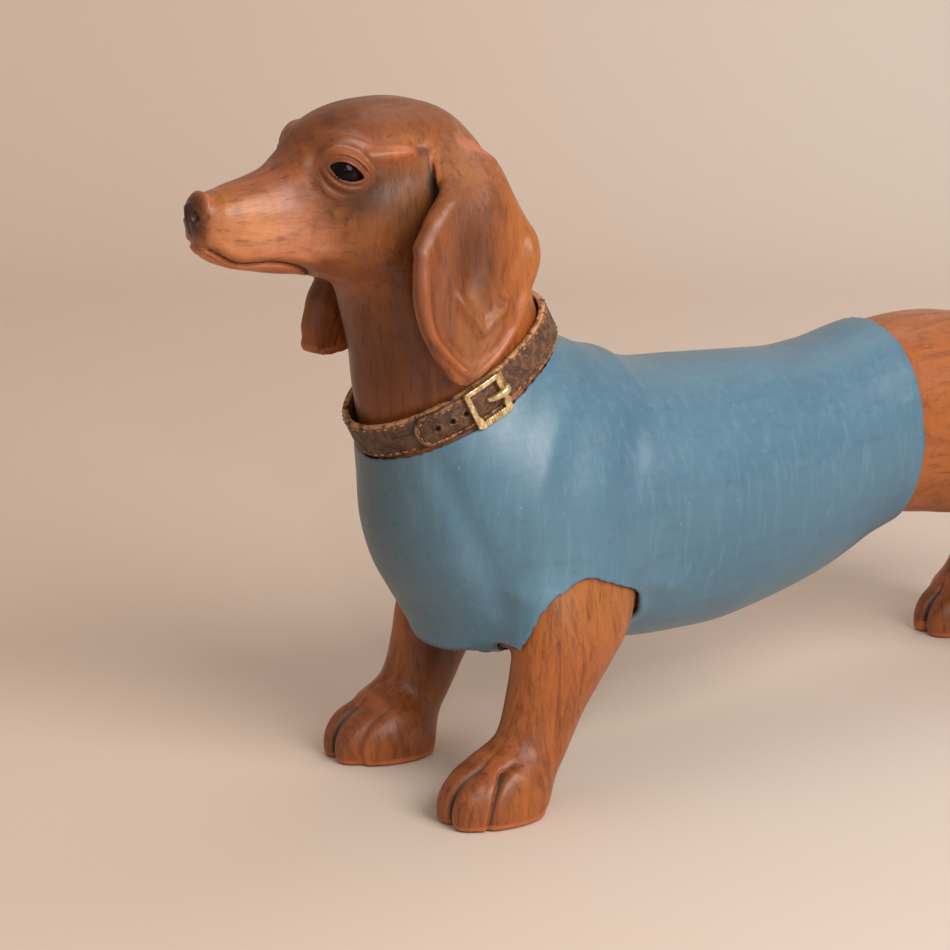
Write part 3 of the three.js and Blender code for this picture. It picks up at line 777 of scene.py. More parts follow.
RING_TABLE = np.radians(np.linspace(0, 360, 2881))
BUCKLE_AT = math.radians(261)
MEASURED_OUT = 3.4  # the collar's length is taken this far outside the neck
RING_SPEED = np.hypot((RING_A + MEASURED_OUT) * np.sin(RING_TABLE), (RING_B + MEASURED_OUT) * np.cos(RING_TABLE))
RING_LENGTH = np.r_[0, np.cumsum((RING_SPEED[1:] + RING_SPEED[:-1]) / 2 * np.diff(RING_TABLE))]
RING_LENGTH -= np.interp(BUCKLE_AT, RING_TABLE, RING_LENGTH)


def along(degrees):
    """Length along the collar from the buckle to an angle round the neck."""
    return float(np.interp(math.radians(degrees), RING_TABLE, RING_LENGTH))


def on_ring(phi, out, up):
    """Points at an angle round the neck, proud of it, and up the neck."""
    nx, ny = np.cos(phi) / RING_A, np.sin(phi) / RING_B
    k = np.hypot(nx, ny)
    u = RING_A * np.cos(phi) + out * nx / k
    v = RING_B * np.sin(phi) + out * ny / k
    c, s = math.cos(RING_TILT), math.sin(RING_TILT)
    return np.stack([RING_X + u * c - up * s, v, RING_Z + u * s + up * c], -1)


def on_collar(p):
    """Flat collar points (length from the buckle, up, out) carried round the neck."""
    phi = np.interp(p[:, 0], RING_LENGTH, RING_TABLE)
    return on_ring(phi, p[:, 2], p[:, 1])


def bent(name, field, lo, hi, h, *nodes):
    """A piece worked out flat and then carried round the neck."""
    v, t = surface(field, lo, hi, h)
    n = normals(field, v, 0.08)
    crease = np.clip(1 - evaluate(field, v + n * 0.9) / 0.9, 0, 1)
    proud = np.clip(1 + evaluate(field, v - n * 0.8) / 0.8, 0, 1)
    step_out = on_collar(v + n * 0.2) - on_collar(v)
    step_out /= np.linalg.norm(step_out, axis=1)[:, None]
    ob = make_mesh(name, on_collar(v), t[:, [0, 2, 1]] if flipped() else t, *nodes, normal=step_out)
    attribute(ob, "crease", crease)
    attribute(ob, "proud", proud)
    return ob


def flipped():
    """Whether carrying a flat piece round the neck turns it inside out."""
    o = on_collar(np.array([[0, 0, 3.0], [0.1, 0, 3.0], [0, 0.1, 3.0], [0, 0, 3.1]]))
    return np.linalg.det(o[1:] - o[0]) < 0


def strap_piece():
    """The band round the neck, softly pillowed, with rounded edges."""
    w, t, r = STRAP_HALF, STRAP_THICK, 0.8
    quarter = np.radians(np.linspace(0, 90, 6))

    def corner(cx, cy, start):
        return [(cx + r * math.cos(a), cy + r * math.sin(a)) for a in quarter + math.radians(start)]

    top = [(u, t + 0.22 * (1 - (u / w) ** 2)) for u in np.linspace(w - r, r - w, 13)[1:-1]]
    under = corner(r - w, r, 180) + corner(w - r, r, 270)
    profile = np.array(corner(w - r, t - r, 0) + top + corner(r - w, t - r, 90) + under)
    rows = []
    for phi in np.linspace(0, 2 * math.pi, 360, endpoint=False):
        wave = 0.12 * math.sin(phi * 7 + 1) + 0.08 * math.sin(phi * 17)
        rows.append(on_ring(np.full(len(profile), phi), profile[:, 1], profile[:, 0] * (1 + 0.012 * wave)))
    v = np.vstack(rows)
    f = grid_faces(len(rows), len(profile), True)
    ob = make_mesh("collar_band", v, f, "collar_strap")
    edge = np.tile(np.abs(profile[:, 0]) / w, len(rows))
    attribute(ob, "proud", np.clip(edge * 4 - 3.1, 0, 1))
    attribute(ob, "crease", np.zeros(len(v)))
    return ob


TONGUE_FROM, TONGUE_TO, TONGUE_HALF = 222, 274, 5.9
TONGUE_LOW, TONGUE_TOP = STRAP_THICK + GAP + 0.1, STRAP_THICK + GAP + 1.7
HOLES = (234, 242, 249.5)


def tongue_outline(x, y):
    """Flat distance to the tongue's outline, with its round free end."""
    a, b, r = along(TONGUE_FROM), along(TONGUE_TO), 5.2
    dx = np.maximum(a + r - x, 0)
    dy = np.maximum(np.abs(y) - TONGUE_HALF + r, 0)
    end = np.hypot(dx, dy) - r
    side = np.where(x > a + r, np.abs(y) - TONGUE_HALF, end)
    return np.maximum(side, x - b)


def tongue_field(P):
    x, y, z = P
    edge = tongue_outline(x, y)
    swell = 0.12 * np.sin(x * 0.9 + 0.5) * np.sin(y * 0.7 + 1)
    top = TONGUE_TOP + 0.15 * np.clip(-edge - 2.4, 0, 1) + swell * 0.6
    f = smax(edge, np.maximum(z - top, TONGUE_LOW - z), 0.9)
    f = f + 0.35 * bell(edge + 1.35, 0.38) * (z > 3)
    for degrees in HOLES:
        d = np.hypot(x - along(degrees), y)
        f = f - 0.22 * bell(d - 1.5, 0.35) * (z > 3)
        f = smax(f, 0.85 - d, 0.35)
    return f


BUCKLE_HALF_X, BUCKLE_HALF_Y, BUCKLE_OUT = 7.0, 7.4, STRAP_THICK + GAP + 1.6 + 1.25


def buckle_field(P):
    x, y, z = P
    r = 1.6
    dx, dy = np.abs(x) - BUCKLE_HALF_X + r, np.abs(y) - BUCKLE_HALF_Y + r
    outline = np.hypot(np.maximum(dx, 0), np.maximum(dy, 0)) + np.minimum(np.maximum(dx, dy), 0) - r
    width = 0.95 + 0.4 * step(-2, -4, y)
    q = np.abs(outline + width) - width + 0.45
    w = np.abs(z - BUCKLE_OUT) - 1.05 + 0.45
    f = np.hypot(np.maximum(q, 0), np.maximum(w, 0)) + np.minimum(np.maximum(q, w), 0) - 0.45
    notch = bell(np.mod(x + 0.5, 1.0) - 0.5, 0.22) * step(-3.6, -4.4, y) * (np.abs(x) < 4.6)
    return f + 0.16 * notch + 0.05 * np.sin(x * 3.1) * np.sin(y * 2.7 + 1)


PRONG = [
    (7.6, BUCKLE_OUT - 1.5, 0.95), (8.0, BUCKLE_OUT + 0.2, 1.1), (6.6, BUCKLE_OUT + 1.9, 1.2),
    (4.0, BUCKLE_OUT + 1.9, 1.05), (2.0, BUCKLE_OUT + 1.3, 0.9), (0.6, BUCKLE_OUT + 0.2, 0.8),
    (0.2, BUCKLE_OUT - 0.95, 0.6)]


def prong_field(P):
    x, y, z = P
    best = np.full(x.shape, 1e9, np.float32)
    pts = smooth_rows(PRONG, 6)
    for a, b in zip(pts[:-1], pts[1:]):
        d = b[:2] - a[:2]
        t = np.clip(((x - a[0]) * d[0] + (z - a[1]) * d[1]) / (d @ d), 0, 1)
        r = a[2] + (b[2] - a[2]) * t
        dx, dy, dz = x - a[0] - d[0] * t, (y - 0.6) * 0.8, z - a[1] - d[1] * t
        best = np.minimum(best, np.sqrt(dx**2 + dy**2 + dz**2) - r)
    return best


THREAD = 0.3
DASH_ENDS = (0.3, 0.8, 1, 1.1, 1, 0.8, 0.3)


def dash(x0, y0, x1, y1, z):
    """One stitch of thread in flat collar coordinates."""
    p0, d = np.array([x0, y0, z]), np.array([x1 - x0, y1 - y0, 0.0])
    n = np.array([-d[1], d[0], 0]) / np.hypot(d[0], d[1])
    a = np.linspace(0, 2 * math.pi, 9)[:-1, None]
    rings = []
    for t, k in zip(np.linspace(0, 1, 7), DASH_ENDS):
        middle = p0 + d * t + np.array([0, 0, 0.16 * math.sin(math.pi * t)])
        rings.append(middle + THREAD * k * (np.cos(a) * n + np.sin(a) * np.array([0, 0, 1.0])))
    return closed_tube(rings)


def stitches():
    """A row along each edge of the strap and of the tongue, and round the tongue's end."""
    rng = np.random.default_rng(7)
    flat = []
    start, stop = along(TONGUE_FROM), along(TONGUE_TO)
    on_strap, on_tongue = STRAP_THICK + 0.02, TONGUE_TOP - 0.1
    for side in (-1, 1):
        for x in np.arange(RING_LENGTH[0] + 0.8, RING_LENGTH[-1] - 1.5, 3.1):
            if start - 2.4 < x < stop + 2.6:
                continue
            j = rng.normal(0, 0.12, 3)
            y = side * (STRAP_HALF - 1.35)
            flat.append(dash(x + j[0], y + j[1], x + 1.75 + j[0], y + j[2], on_strap))
    for side in (-1, 1):
        for x in np.arange(start + 5.4, along(257), 2.5):
            j = rng.normal(0, 0.1, 3)
            y = side * (TONGUE_HALF - 1.3)
            flat.append(dash(x + j[0], y + j[1], x + 1.6 + j[0], y + j[2], on_tongue))
    for a in np.radians([112, 148, 184, 220]):
        ends = [(start + 5.2 + 3.9 * math.cos(b), (TONGUE_HALF - 1.3) * math.sin(b)) for b in (a, a + 0.4)]
        flat.append(dash(*ends[0], *ends[1], on_tongue))
    v, t = joined(flat)
    return make_mesh("collar_stitches", on_collar(v), t if flipped() else t[:, [0, 2, 1]])


def eye_piece(name, sign):
    """A glass ball with a slightly fuller front."""
    rings = []
    for a in np.radians(np.linspace(2, 178, 44)):
        b = np.linspace(0, 2 * math.pi, 65)[:-1]
        r = EYE_R - 0.08 + 0.25 * math.exp(-((a / 0.62) ** 4))
        round_axis = np.cos(b)[:, None] * EYE_ALONG + np.sin(b)[:, None] * EYE_UP
        rings.append(EYE + r * (math.cos(a) * EYE_OUT + math.sin(a) * round_axis))
    v, t = closed_tube(rings)
    v = v * np.array([1, sign, 1])
    ob = make_mesh(f"{name}_eye_ball", v, outward(v, t), f"{name}_eye")
    d = (v * np.array([1, sign, 1]) - EYE) @ EYE_OUT / EYE_R
    attribute(ob, "iris", step(0.93, 0.72, d))
    return ob


def outward(v, t):
    """The triangles turned to face out of a closed body."""
    a, b, c = v[t[:, 0]], v[t[:, 1]], v[t[:, 2]]
    return t if (np.cross(a, b) * c).sum() > 0 else t[:, [0, 2, 1]]


def pad_piece(name, x, y):
    """A soft rubber disc under a foot."""
    a = np.linspace(0, 2 * math.pi, 73)[:-1]
    rings = []
    profile = ((2.2, 0.0), (0.7, 0.0), (0.25, 0.12), (0.02, 0.45), (0, 0.9), (0, 2.1),
               (0.1, 2.4), (0.4, PAD_TOP), (2.2, PAD_TOP))
    for inset, z in profile:
        rx, ry = PAD_RADII[0] - inset, PAD_RADII[1] - inset
        rings.append(np.stack([x + rx * np.cos(a), y + ry * np.sin(a), np.full(len(a), z)], -1))
    v, t = closed_tube(rings)
    ob = make_mesh(f"{name}_pad_disc", v, outward(v, t), f"{name}_pad")
    ob.data.set_sharp_from_angle(angle=math.radians(40))
    return ob


# ---------------------------------------------------------------- materials

def linear(r, g, b):
    """An sRGB colour of 0-255 as linear values."""
    c = np.array([r, g, b]) / 255
    return np.where(c <= 0.04045, c / 12.92, ((c + 0.055) / 1.055) ** 2.4)


class Nodes:
    """A material's node tree, built a line at a time."""

    def __init__(self, name):
        self.material = bpy.data.materials.new(name)
        self.material.use_nodes = True
        self.tree = self.material.node_tree
        self.shader = self.tree.nodes["Principled BSDF"]

    def put(self, node, socket, value):
        target = node.inputs[socket]
        if isinstance(value, bpy.types.NodeSocket):
            self.tree.links.new(value, target)
        elif target.type == "RGBA":
            target.default_value = (*value, 1) if len(value) == 3 else value
        else:
            target.default_value = value

    def add(self, kind, inputs=(), out=0, **settings):
        node = self.tree.nodes.new(kind)
        for key, value in settings.items():
            setattr(node, key, value)
        for socket, value in dict(inputs).items():
            self.put(node, socket, value)
        return node.outputs[out]

    def value(self, name):
        return self.add("ShaderNodeAttribute", attribute_name=name, out=2)

    def colour(self, name):
        return self.add("ShaderNodeAttribute", attribute_name=name, out=0)

    def math(self, operation, a, b=0.0, clamp=False):
        return self.add("ShaderNodeMath", {0: a, 1: b}, operation=operation, use_clamp=clamp)

    def ramp(self, value, low, high, to_low=0.0, to_high=1.0):
        limits = {"Value": value, "From Min": low, "From Max": high, "To Min": to_low, "To Max": to_high}
        return self.add("ShaderNodeMapRange", limits, interpolation_type="SMOOTHSTEP")

    def mix(self, factor, a, b, blend="MIX"):
        node = self.tree.nodes.new("ShaderNodeMix")
        node.data_type, node.blend_type = "RGBA", blend
        node.clamp_factor = True
        for index, value in ((0, factor), (6, a), (7, b)):
            self.put(node, index, value)
        return node.outputs[2]

    def tint(self, base, factor, colour):
        """The base multiplied by a colour, by as much as the factor says."""
        return self.mix(factor, base, self.mix(1.0, base, colour, "MULTIPLY"))

    def blend(self, factor, a, b):
        return self.add("ShaderNodeMix", {0: factor, 2: a, 3: b}, data_type="FLOAT")

    def axis(self, index, turn=0.0):
        """One object coordinate, after a turn about the upright."""
        return self.add("ShaderNodeSeparateXYZ", {"Vector": self.place(turn=(0, 0, turn))}, out=index)

    def place(self, scale=(1, 1, 1), turn=(0, 0, 0)):
        """Object coordinates, turned and then stretched."""
        here = self.add("ShaderNodeTexCoord", out=3)
        return self.add("ShaderNodeMapping", {"Vector": here, "Rotation": turn, "Scale": scale})

    def noise(self, vector, scale, detail=4.0, rough=0.55, warp=0.0):
        inputs = {"Vector": vector, "Scale": scale, "Detail": detail, "Roughness": rough, "Distortion": warp}
        return self.add("ShaderNodeTexNoise", inputs)

    def bump(self, height, strength, distance, under=None):
        inputs = {"Height": height, "Strength": strength, "Distance": distance}
        if under is not None:
            inputs["Normal"] = under
        return self.add("ShaderNodeBump", inputs)

    def finish(self, **inputs):
        for socket, value in inputs.items():
            self.put(self.shader, socket.replace("_", " "), value)
        return self.material


def fur_material():
    """Stained and varnished: painted base, brush strokes along the lie of the hair, painted shade darkening the
    creases and hollows, a painted sheen on proud places.
    """
    m = Nodes("stained_varnish")
    paint, crease, hollow, proud = m.colour("paint"), m.value("crease"), m.value("hollow"), m.value("proud")
    lie = m.value("lie")
    down = m.noise(m.place((1, 1, 0.12), (0.16, 0.3, 0)), 640, 5, 0.65, 0.4)
    back = m.noise(m.place((0.14, 1, 1), (0, -0.25, 0.1)), 520, 5, 0.6, 0.3)
    strokes = m.blend(lie, down, back)
    wide_down = m.noise(m.place((1, 1, 0.22), (0.2, 0.35, 0)), 150, 5, 0.65, 1.0)
    wide_back = m.noise(m.place((0.3, 1, 1), (0, -0.3, 0.2)), 120, 5, 0.65, 1.4)
    wide = m.blend(lie, wide_down, wide_back)
    patches = m.noise(m.place(), 38, 4, 0.55, 0.8)
    smudges = m.noise(m.place((1, 1, 0.5), (0.4, 0, 0)), 52, 5, 0.65, 1.4)
    base = paint
    for noise, start, full, strength, colour in (
            (patches, 0.42, 0.60, 0.7, (1.0, 0.98, 0.62)), (smudges, 0.50, 0.66, 0.42, (0.62, 0.50, 0.46)),
            (wide, 0.50, 0.64, 0.5, (0.50, 0.42, 0.38)), (wide, 0.46, 0.34, 0.5, (1.35, 1.28, 0.95)),
            (strokes, 0.54, 0.68, 0.6, (0.40, 0.33, 0.30)), (strokes, 0.44, 0.32, 0.4, (1.35, 1.25, 1.0))):
        base = m.tint(base, m.ramp(noise, start, full, 0.0, strength), colour)
    streaks = m.noise(m.place((1, 1, 0.14), (0.25, 0.55, 0)), 330, 6, 0.7, 0.8)
    low = m.ramp(m.axis(2), 0.10, 0.07, 0.3, 1.0)
    base = m.tint(base, m.math("MULTIPLY", m.ramp(streaks, 0.48, 0.66, 0.0, 0.7), low), (0.52, 0.44, 0.40))
    base = m.mix(1.0, base, (0.86, 0.84, 0.84), "MULTIPLY")
    specks = m.noise(m.place(), 900, 2, 0.5)
    base = m.mix(m.ramp(specks, 0.66, 0.74, 0.0, 0.35), base, (0.06, 0.02, 0.01))
    # painted shade: creases and hollows darkened where the surface shuts out the light
    in_creases = m.math("MULTIPLY", m.ramp(crease, 0.10, 0.62), 0.85)
    in_hollows = m.math("MULTIPLY", m.ramp(hollow, 0.22, 0.75), 0.35)
    painted_shade = m.math("ADD", in_creases, in_hollows, clamp=True)
    base = m.mix(painted_shade, base, (0.060, 0.023, 0.010))
    # painted highlight: proud places lighter, with a lilac sheen like a reflection of the light
    painted_sheen = m.math("MULTIPLY", m.ramp(proud, 0.06, 0.36), m.ramp(wide, 0.35, 0.6, 0.35, 0.75))
    base = m.mix(painted_sheen, base, m.mix(1.0, paint, (1.45, 1.38, 1.5), "MULTIPLY"))
    rough = m.math("ADD", m.ramp(wide, 0.3, 0.7, 0.34, 0.46), m.math("MULTIPLY", painted_shade, 0.12))
    rough = m.math("SUBTRACT", rough, m.math("MULTIPLY", m.value("gloss"), 0.06))
    relief = m.bump(wide, 0.18, 0.0014, m.bump(strokes, 0.22, 0.0006))
    return m.finish(Base_Color=base, Roughness=rough, Normal=relief,
                    Specular_IOR_Level=0.34, Coat_Weight=0.12, Coat_Roughness=0.28)


def coat_material():
    """Blue satin paint, brushed on by hand, with painted shade in its creases and along its edges, and over the
    front of the chest.
    """
    m = Nodes("coat_paint")
    crease = m.value("crease")
    brush = m.noise(m.place((1, 1, 0.16), (0.3, 0.5, 0.1)), 380, 5, 0.6, 0.5)
    brush2 = m.noise(m.place((0.16, 1, 1), (0.2, -0.5, 0.3)), 300, 5, 0.6, 0.5)
    clouds = m.noise(m.place(), 16, 3, 0.5, 0.4)
    base = m.mix(m.ramp(clouds, 0.3, 0.7), (0.062, 0.150, 0.225), (0.082, 0.180, 0.255))
    base = m.mix(m.ramp(brush, 0.48, 0.70, 0.0, 0.30), base, (0.135, 0.245, 0.320))
    base = m.mix(m.ramp(brush2, 0.52, 0.70, 0.0, 0.25), base, (0.045, 0.105, 0.155))
    specks = m.noise(m.place(), 620, 2, 0.5)
    base = m.mix(m.ramp(specks, 0.735, 0.77, 0.0, 0.5), base, (0.25, 0.36, 0.42))
    # painted shade in the coat's creases and along the step of its edges
    base = m.mix(m.ramp(crease, 0.15, 0.7, 0.0, 0.6), base, (0.03, 0.06, 0.09))
    # painted shade: the front of the chest darker and greyer, most on the side turned away from the window light
    base = m.tint(base, m.ramp(m.axis(0, 0.45), -0.100, -0.150, 0.0, 0.95), (0.72, 0.60, 0.52))
    rough = m.ramp(brush, 0.3, 0.7, 0.34, 0.46)
    relief = m.bump(brush, 0.16, 0.0006)
    relief = m.bump(brush2, 0.12, 0.0006, relief)
    relief = m.bump(m.noise(m.place(), 60, 2, 0.5), 0.10, 0.003, relief)
    return m.finish(Base_Color=base, Roughness=rough, Normal=relief, Coat_Weight=0.15, Coat_Roughness=0.35)


def leather_material():
    m = Nodes("collar_leather")
    proud, crease = m.value("proud"), m.value("crease")
    grain = m.add("ShaderNodeTexVoronoi", {"Vector": m.place(), "Scale": 900.0}, feature="DISTANCE_TO_EDGE")
    blotch = m.noise(m.place(), 260, 5, 0.65, 0.6)
    fine = m.noise(m.place(), 1300, 4, 0.6)
    base = m.mix(m.ramp(blotch, 0.36, 0.66), (0.028, 0.010, 0.005), (0.105, 0.042, 0.018))
    base = m.mix(m.ramp(fine, 0.56, 0.72, 0.0, 0.6), base, (0.28, 0.125, 0.055))
    rubbed = m.math("MULTIPLY", m.ramp(proud, 0.05, 0.9), m.ramp(blotch, 0.40, 0.58))
    base = m.mix(rubbed, base, (0.40, 0.18, 0.072))
    # painted light: the band lighter and cooler towards its top, like a lit side with a sheen, and darker below,
    # like a shaded side
    below = m.mix(1.0, base, (0.68, 0.60, 0.54), "MULTIPLY")
    above = m.mix(1.0, base, (1.7, 1.8, 1.9), "MULTIPLY")
    base = m.mix(m.ramp(m.axis(2), 0.120, 0.150, 0.0, 0.9), below, above)
    # painted shade: the creases of the tongue darkened
    base = m.mix(m.ramp(crease, 0.15, 0.6), base, (0.012, 0.005, 0.003))
    relief = m.bump(grain, 0.35, 0.0006)
    relief = m.bump(blotch, 0.35, 0.0009, relief)
    return m.finish(Base_Color=base, Roughness=m.ramp(blotch, 0.3, 0.7, 0.62, 0.38), Normal=relief)


def thread_material():
    m = Nodes("collar_thread")
    dirt = m.noise(m.place(), 420, 3, 0.6)
    base = m.mix(m.ramp(dirt, 0.40, 0.62), (0.46, 0.19, 0.06), (0.16, 0.055, 0.02))
    return m.finish(Base_Color=base, Roughness=0.6, Normal=m.bump(m.noise(m.place(), 2600, 2, 0.5), 0.4, 0.0003))


def brass_material():
    m = Nodes("buckle_brass")
    crease, proud = m.value("crease"), m.value("proud")
    wear = m.noise(m.place(), 520, 4, 0.6, 0.4)
    base = m.mix(m.ramp(wear, 0.40, 0.64), (0.86, 0.70, 0.42), (0.44, 0.27, 0.10))
    base = m.mix(m.ramp(crease, 0.05, 0.5, 0.0, 0.8), base, (0.05, 0.022, 0.010))
    metal, rough = m.ramp(wear, 0.35, 0.75, 0.95, 0.6), m.ramp(wear, 0.35, 0.65, 0.24, 0.48)
    return m.finish(Base_Color=base, Metallic=metal, Roughness=rough, Normal=m.bump(wear, 0.3, 0.0005))


def eye_material():
    m = Nodes("eye_glass")
    iris = m.value("iris")
    flecks = m.noise(m.place((1, 1, 1)), 1200, 3, 0.6)
    brown = m.mix(flecks, (0.030, 0.010, 0.004), (0.012, 0.004, 0.002))
    base = m.mix(iris, (0.0025, 0.0015, 0.0012), brown)
    return m.finish(Base_Color=base, Roughness=0.03, Specular_IOR_Level=0.12)


def rubber_material():
    m = Nodes("foot_rubber")
    dust = m.noise(m.place(), 700, 4, 0.6)
    base = m.mix(m.ramp(dust, 0.45, 0.7), (0.018, 0.015, 0.013), (0.06, 0.05, 0.042))
    rough = m.ramp(dust, 0.3, 0.7, 0.65, 0.85)
    return m.finish(Base_Color=base, Roughness=rough, Normal=m.bump(dust, 0.3, 0.0005))


# Where the stain is lighter or darker, with one row of painted shade: centre, radii, colour, strength, on both
# sides alike
TINTS = [
    ((60, 0, 60), (900, 900, 900), (172, 98, 50), 1.0),
    ((-20, 0, 170), (60, 60, 70), (150, 82, 40), 0.85),
    ((-8, 0, 240), (44, 34, 26), (132, 74, 42), 0.9),
    ((-38, 0, 238), (20, 22, 13), (112, 60, 36), 0.9),
    ((-62, 0, 230), (20, 12, 13), (126, 66, 42), 0.9),
    ((-80, 0, 220), (14, 12, 8), (160, 94, 64), 0.8),
    ((-70, 14, 203), (20, 9, 11), (208, 142, 108), 0.95),
    ((-74, 14, 194), (20, 12, 5), (178, 98, 46), 0.7),
    ((-56, 15, 215), (12, 9, 6), (138, 76, 44), 0.7),
    ((-44, 22, 203), (14, 14, 12), (138, 80, 40), 0.85),
    ((-36, 24, 215), (11, 9, 8.5), (66, 34, 16), 0.92),
    ((-47, 18, 221.5), (8.5, 8, 7), (70, 34, 16), 0.9),
    ((-42, 23, 212.5), (10, 9, 5), (72, 38, 18), 0.85),
    ((-24, 26, 208), (12, 9, 15), (128, 76, 30), 0.85),
    ((-30, 24, 190), (18, 14, 8), (130, 72, 34), 0.8),
    ((-56, 16, 189), (10, 9, 5), (104, 54, 40), 0.7),
    ((-28, 22, 229), (12, 7, 3.6), (176, 104, 60), 0.75),
    ((-42, 14, 232), (10, 10, 5), (116, 60, 34), 0.7),
    ((-4, 32, 220), (10, 12, 11), (172, 114, 82), 0.75),
    ((-10, 40, 196), (12, 9, 24), (88, 46, 26), 0.88),
    ((-20, 40, 172), (10, 9, 14), (134, 76, 46), 0.7),
    ((12, 34, 192), (10, 14, 26), (186, 112, 56), 0.85),
    ((-30, 40, 184), (6, 9, 22), (126, 70, 42), 0.7),
    ((-8, 40, 166), (9, 9, 12), (186, 126, 88), 0.8),
    # painted shade: the underside of the neck darker, under the head and ears
    ((-22, 12, 160), (18, 22, 32), (86, 42, 10), 0.85),
    ((-30, 0, 150), (10, 10, 22), (96, 54, 30), 0.7),
    ((14, 22, 168), (18, 22, 24), (168, 92, 40), 0.75),
    ((34, 40, 72), (22, 16, 14), (168, 104, 50), 0.85),
    ((20, 36, 42), (20, 20, 18), (158, 86, 40), 0.7),
    ((16, 22, 44), (18, 8, 30), (62, 26, 4), 0.9),
    ((-4, 38, 12), (22, 20, 14), (106, 50, 24), 0.85),
    ((4, 54, 8), (10, 6, 8), (170, 100, 44), 0.6),
    ((270, 30, 12), (24, 24, 16), (112, 58, 24), 0.8),
    ((250, 0, 138), (50, 40, 16), (180, 106, 64), 0.8),
    ((230, 30, 84), (30, 20, 24), (160, 94, 46), 0.7),
]
NOSE_TINT = ((-94.5, 0, 209.0), (8.0, 7.4, 7.6), (52, 25, 14))


def painted(ob):
    """Base colour, gloss and lie of the strokes at each vertex."""
    v = verts_mm(ob)
    P = [v[:, 0], np.abs(v[:, 1]), v[:, 2]]
    colour = np.zeros((len(v), 3))
    for c, r, rgb, strength in TINTS:
        w = strength * np.exp(-squared(P, c, r))[:, None]
        colour = colour * (1 - w) + linear(*rgb) * w
    c, r, rgb = NOSE_TINT
    nose = (1 - step(0.1, 2.1, squared(P, c, r)))[:, None]
    colour = colour * (1 - nose) + linear(*rgb) * nose
    attribute(ob, "paint", colour)
    attribute(ob, "gloss", nose[:, 0])
    on_head = step(-34, -48, P[0]) + step(232, 240, P[2]) * (P[0] < 40)
    attribute(ob, "lie", np.clip(on_head + step(180, 200, P[0]) * step(66, 84, P[2]), 0, 1))


def finished(ob, material):
    ob.data.materials.append(material)
    return ob


# ---------------------------------------------------------------- putting it together

fur_pieces = head_pieces() + body_pieces()
finished(coat_piece(), coat_material())
fur = fur_material()
for ob in fur_pieces:
    painted(ob)
    finished(ob, fur)
leather, brass = leather_material(), brass_material()
tongue_lo, tongue_hi = (along(TONGUE_FROM) - 1, -7, 2), (along(TONGUE_TO) + 1, 7, 5.6)
finished(strap_piece(), leather)
for piece, field, lo, hi, h, node, material, slot in (
        ("tongue_strip", tongue_field, tongue_lo, tongue_hi, 0.3, "collar_tongue", leather, "collar_leather"),
        ("buckle_loop", buckle_field, (-8, -8.4, 3), (8, 8.4, 8), 0.22, "buckle_frame", brass, "buckle_brass"),
        ("prong_pin", prong_field, (-2, -2.5, 3), (10, 3.5, 9.5), 0.22, "buckle_prong", brass, "buckle_brass")):
    finished(bent(piece, field, lo, hi, h, node), material)
finished(stitches(), thread_material())
glass, rubber = eye_material(), rubber_material()
for name, sign in SIDES:
    finished(eye_piece(name, sign), glass)
    for end, (x, y) in (("front", FRONT_PAD), ("hind", HIND_PAD)):
        finished(pad_piece(f"{end}_{name}", x, sign * y), rubber)


# ---------------------------------------------------------------- stage, light and camera

VIEW_TURN = math.radians(33.3)  # the sheet's back is turned by this much to face the camera


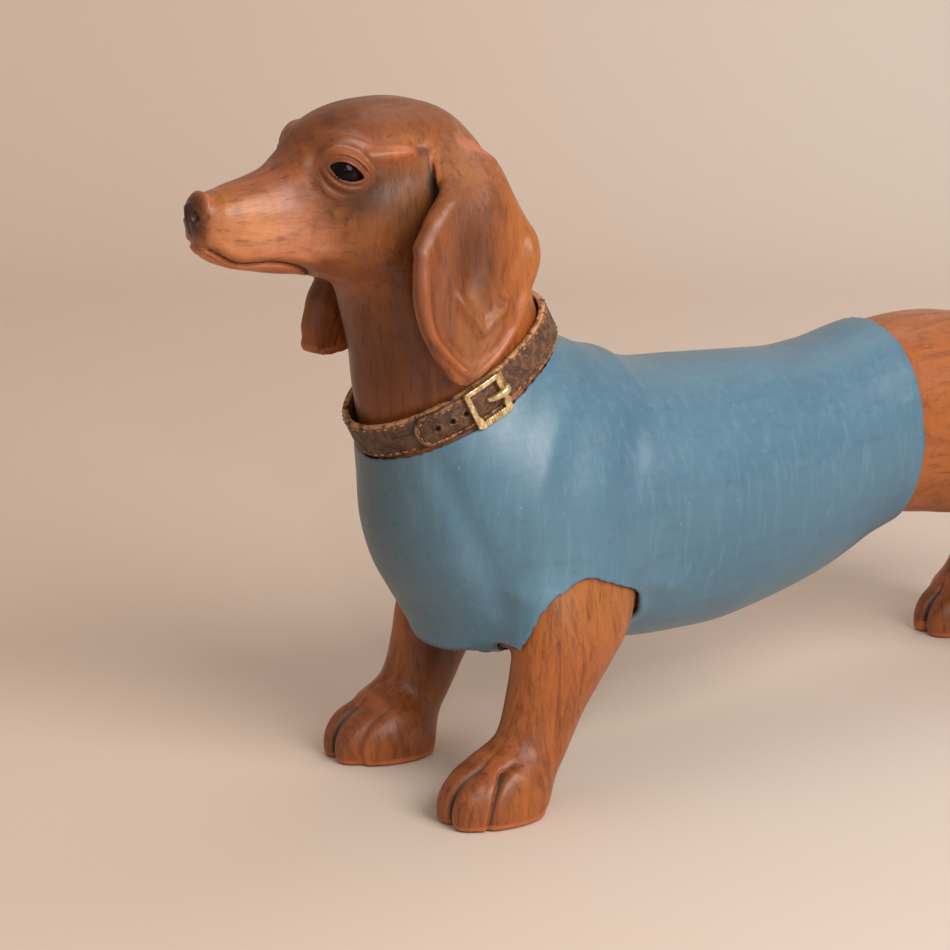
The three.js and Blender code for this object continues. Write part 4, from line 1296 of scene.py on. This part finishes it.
def stage():
    """One plain pale sheet, floor and wall, with a wide curve between."""
    back, radius, wide = 1.1, 0.35, 4.0
    line = [(-1.6, 0.0), (back - radius, 0.0)]
    for a in np.radians(np.linspace(6, 84, 14)):
        line.append((back - radius + radius * math.sin(a), radius - radius * math.cos(a)))
    line += [(back, radius), (back, 2.6)]
    c, s = math.cos(-VIEW_TURN), math.sin(-VIEW_TURN)
    verts = []
    for d, z in line:
        for side in (-wide, wide):
            verts.append((side * c - d * s, d * c + side * s, z))
    faces = [(2 * i, 2 * i + 1, 2 * i + 3, 2 * i + 2) for i in range(len(line) - 1)]
    me = bpy.data.meshes.new("floor")
    me.from_pydata(verts, [], faces)
    me.shade_smooth()
    ob = bpy.data.objects.new("floor", me)
    bpy.context.scene.collection.objects.link(ob)
    m = Nodes("pale_floor")
    tone = m.noise(m.place(), 3, 3, 0.5)
    near = m.mix(tone, tuple(linear(219, 204, 192)), tuple(linear(223, 207, 195)))
    # painted shade: the sheet darker and warmer towards the left
    base = m.mix(m.ramp(m.axis(0, VIEW_TURN), -0.35, 0.30, 0.85, 0.0), near, tuple(linear(214, 192, 174)))
    relief = m.bump(m.noise(m.place(), 420, 4, 0.6), 0.05, 0.001)
    ob.data.materials.append(m.finish(Base_Color=base, Roughness=0.75, Normal=relief))


def area_light(name, at, to, size, watts, colour):
    light = bpy.data.lights.new(name, "AREA")
    light.shape, light.size, light.energy, light.color = "DISK", size, watts, colour
    ob = bpy.data.objects.new(name, light)
    ob.location = at
    ob.rotation_euler = (Vector(to) - Vector(at)).to_track_quat("-Z", "Y").to_euler()
    bpy.context.scene.collection.objects.link(ob)


stage()
area_light("window", (0.05, -1.35, 1.02), (-0.1, 0, 0.1), 1.1, 24.5, (1.0, 0.97, 0.93))
area_light("catchlight", (-0.72, -1.0, 0.62), (-0.17, -0.02, 0.22), 0.06, 1.3, (1.0, 0.97, 0.93))
area_light("sky", (0.7, 0.3, 1.7), (0, 0, 0.1), 1.0, 3.5, (1.0, 0.96, 0.92))

world = bpy.data.worlds.new("studio")
bpy.context.scene.world = world
world.use_nodes = True
world.node_tree.nodes["Background"].inputs["Color"].default_value = (1.0, 0.95, 0.90, 1)
world.node_tree.nodes["Background"].inputs["Strength"].default_value = 0.46

camera = bpy.data.objects.new("camera", bpy.data.cameras.new("camera"))
bpy.context.scene.collection.objects.link(camera)
camera.location = (-0.7249, -0.9283, 0.4075)
camera.rotation_euler = (Vector((-0.1047, 0.0159, 0.1027)) - camera.location).to_track_quat("-Z", "Y").to_euler()
camera.data.lens, camera.data.sensor_width = 127.5, 36
bpy.context.scene.camera = camera
bpy.context.scene.view_settings.view_transform = "Standard"
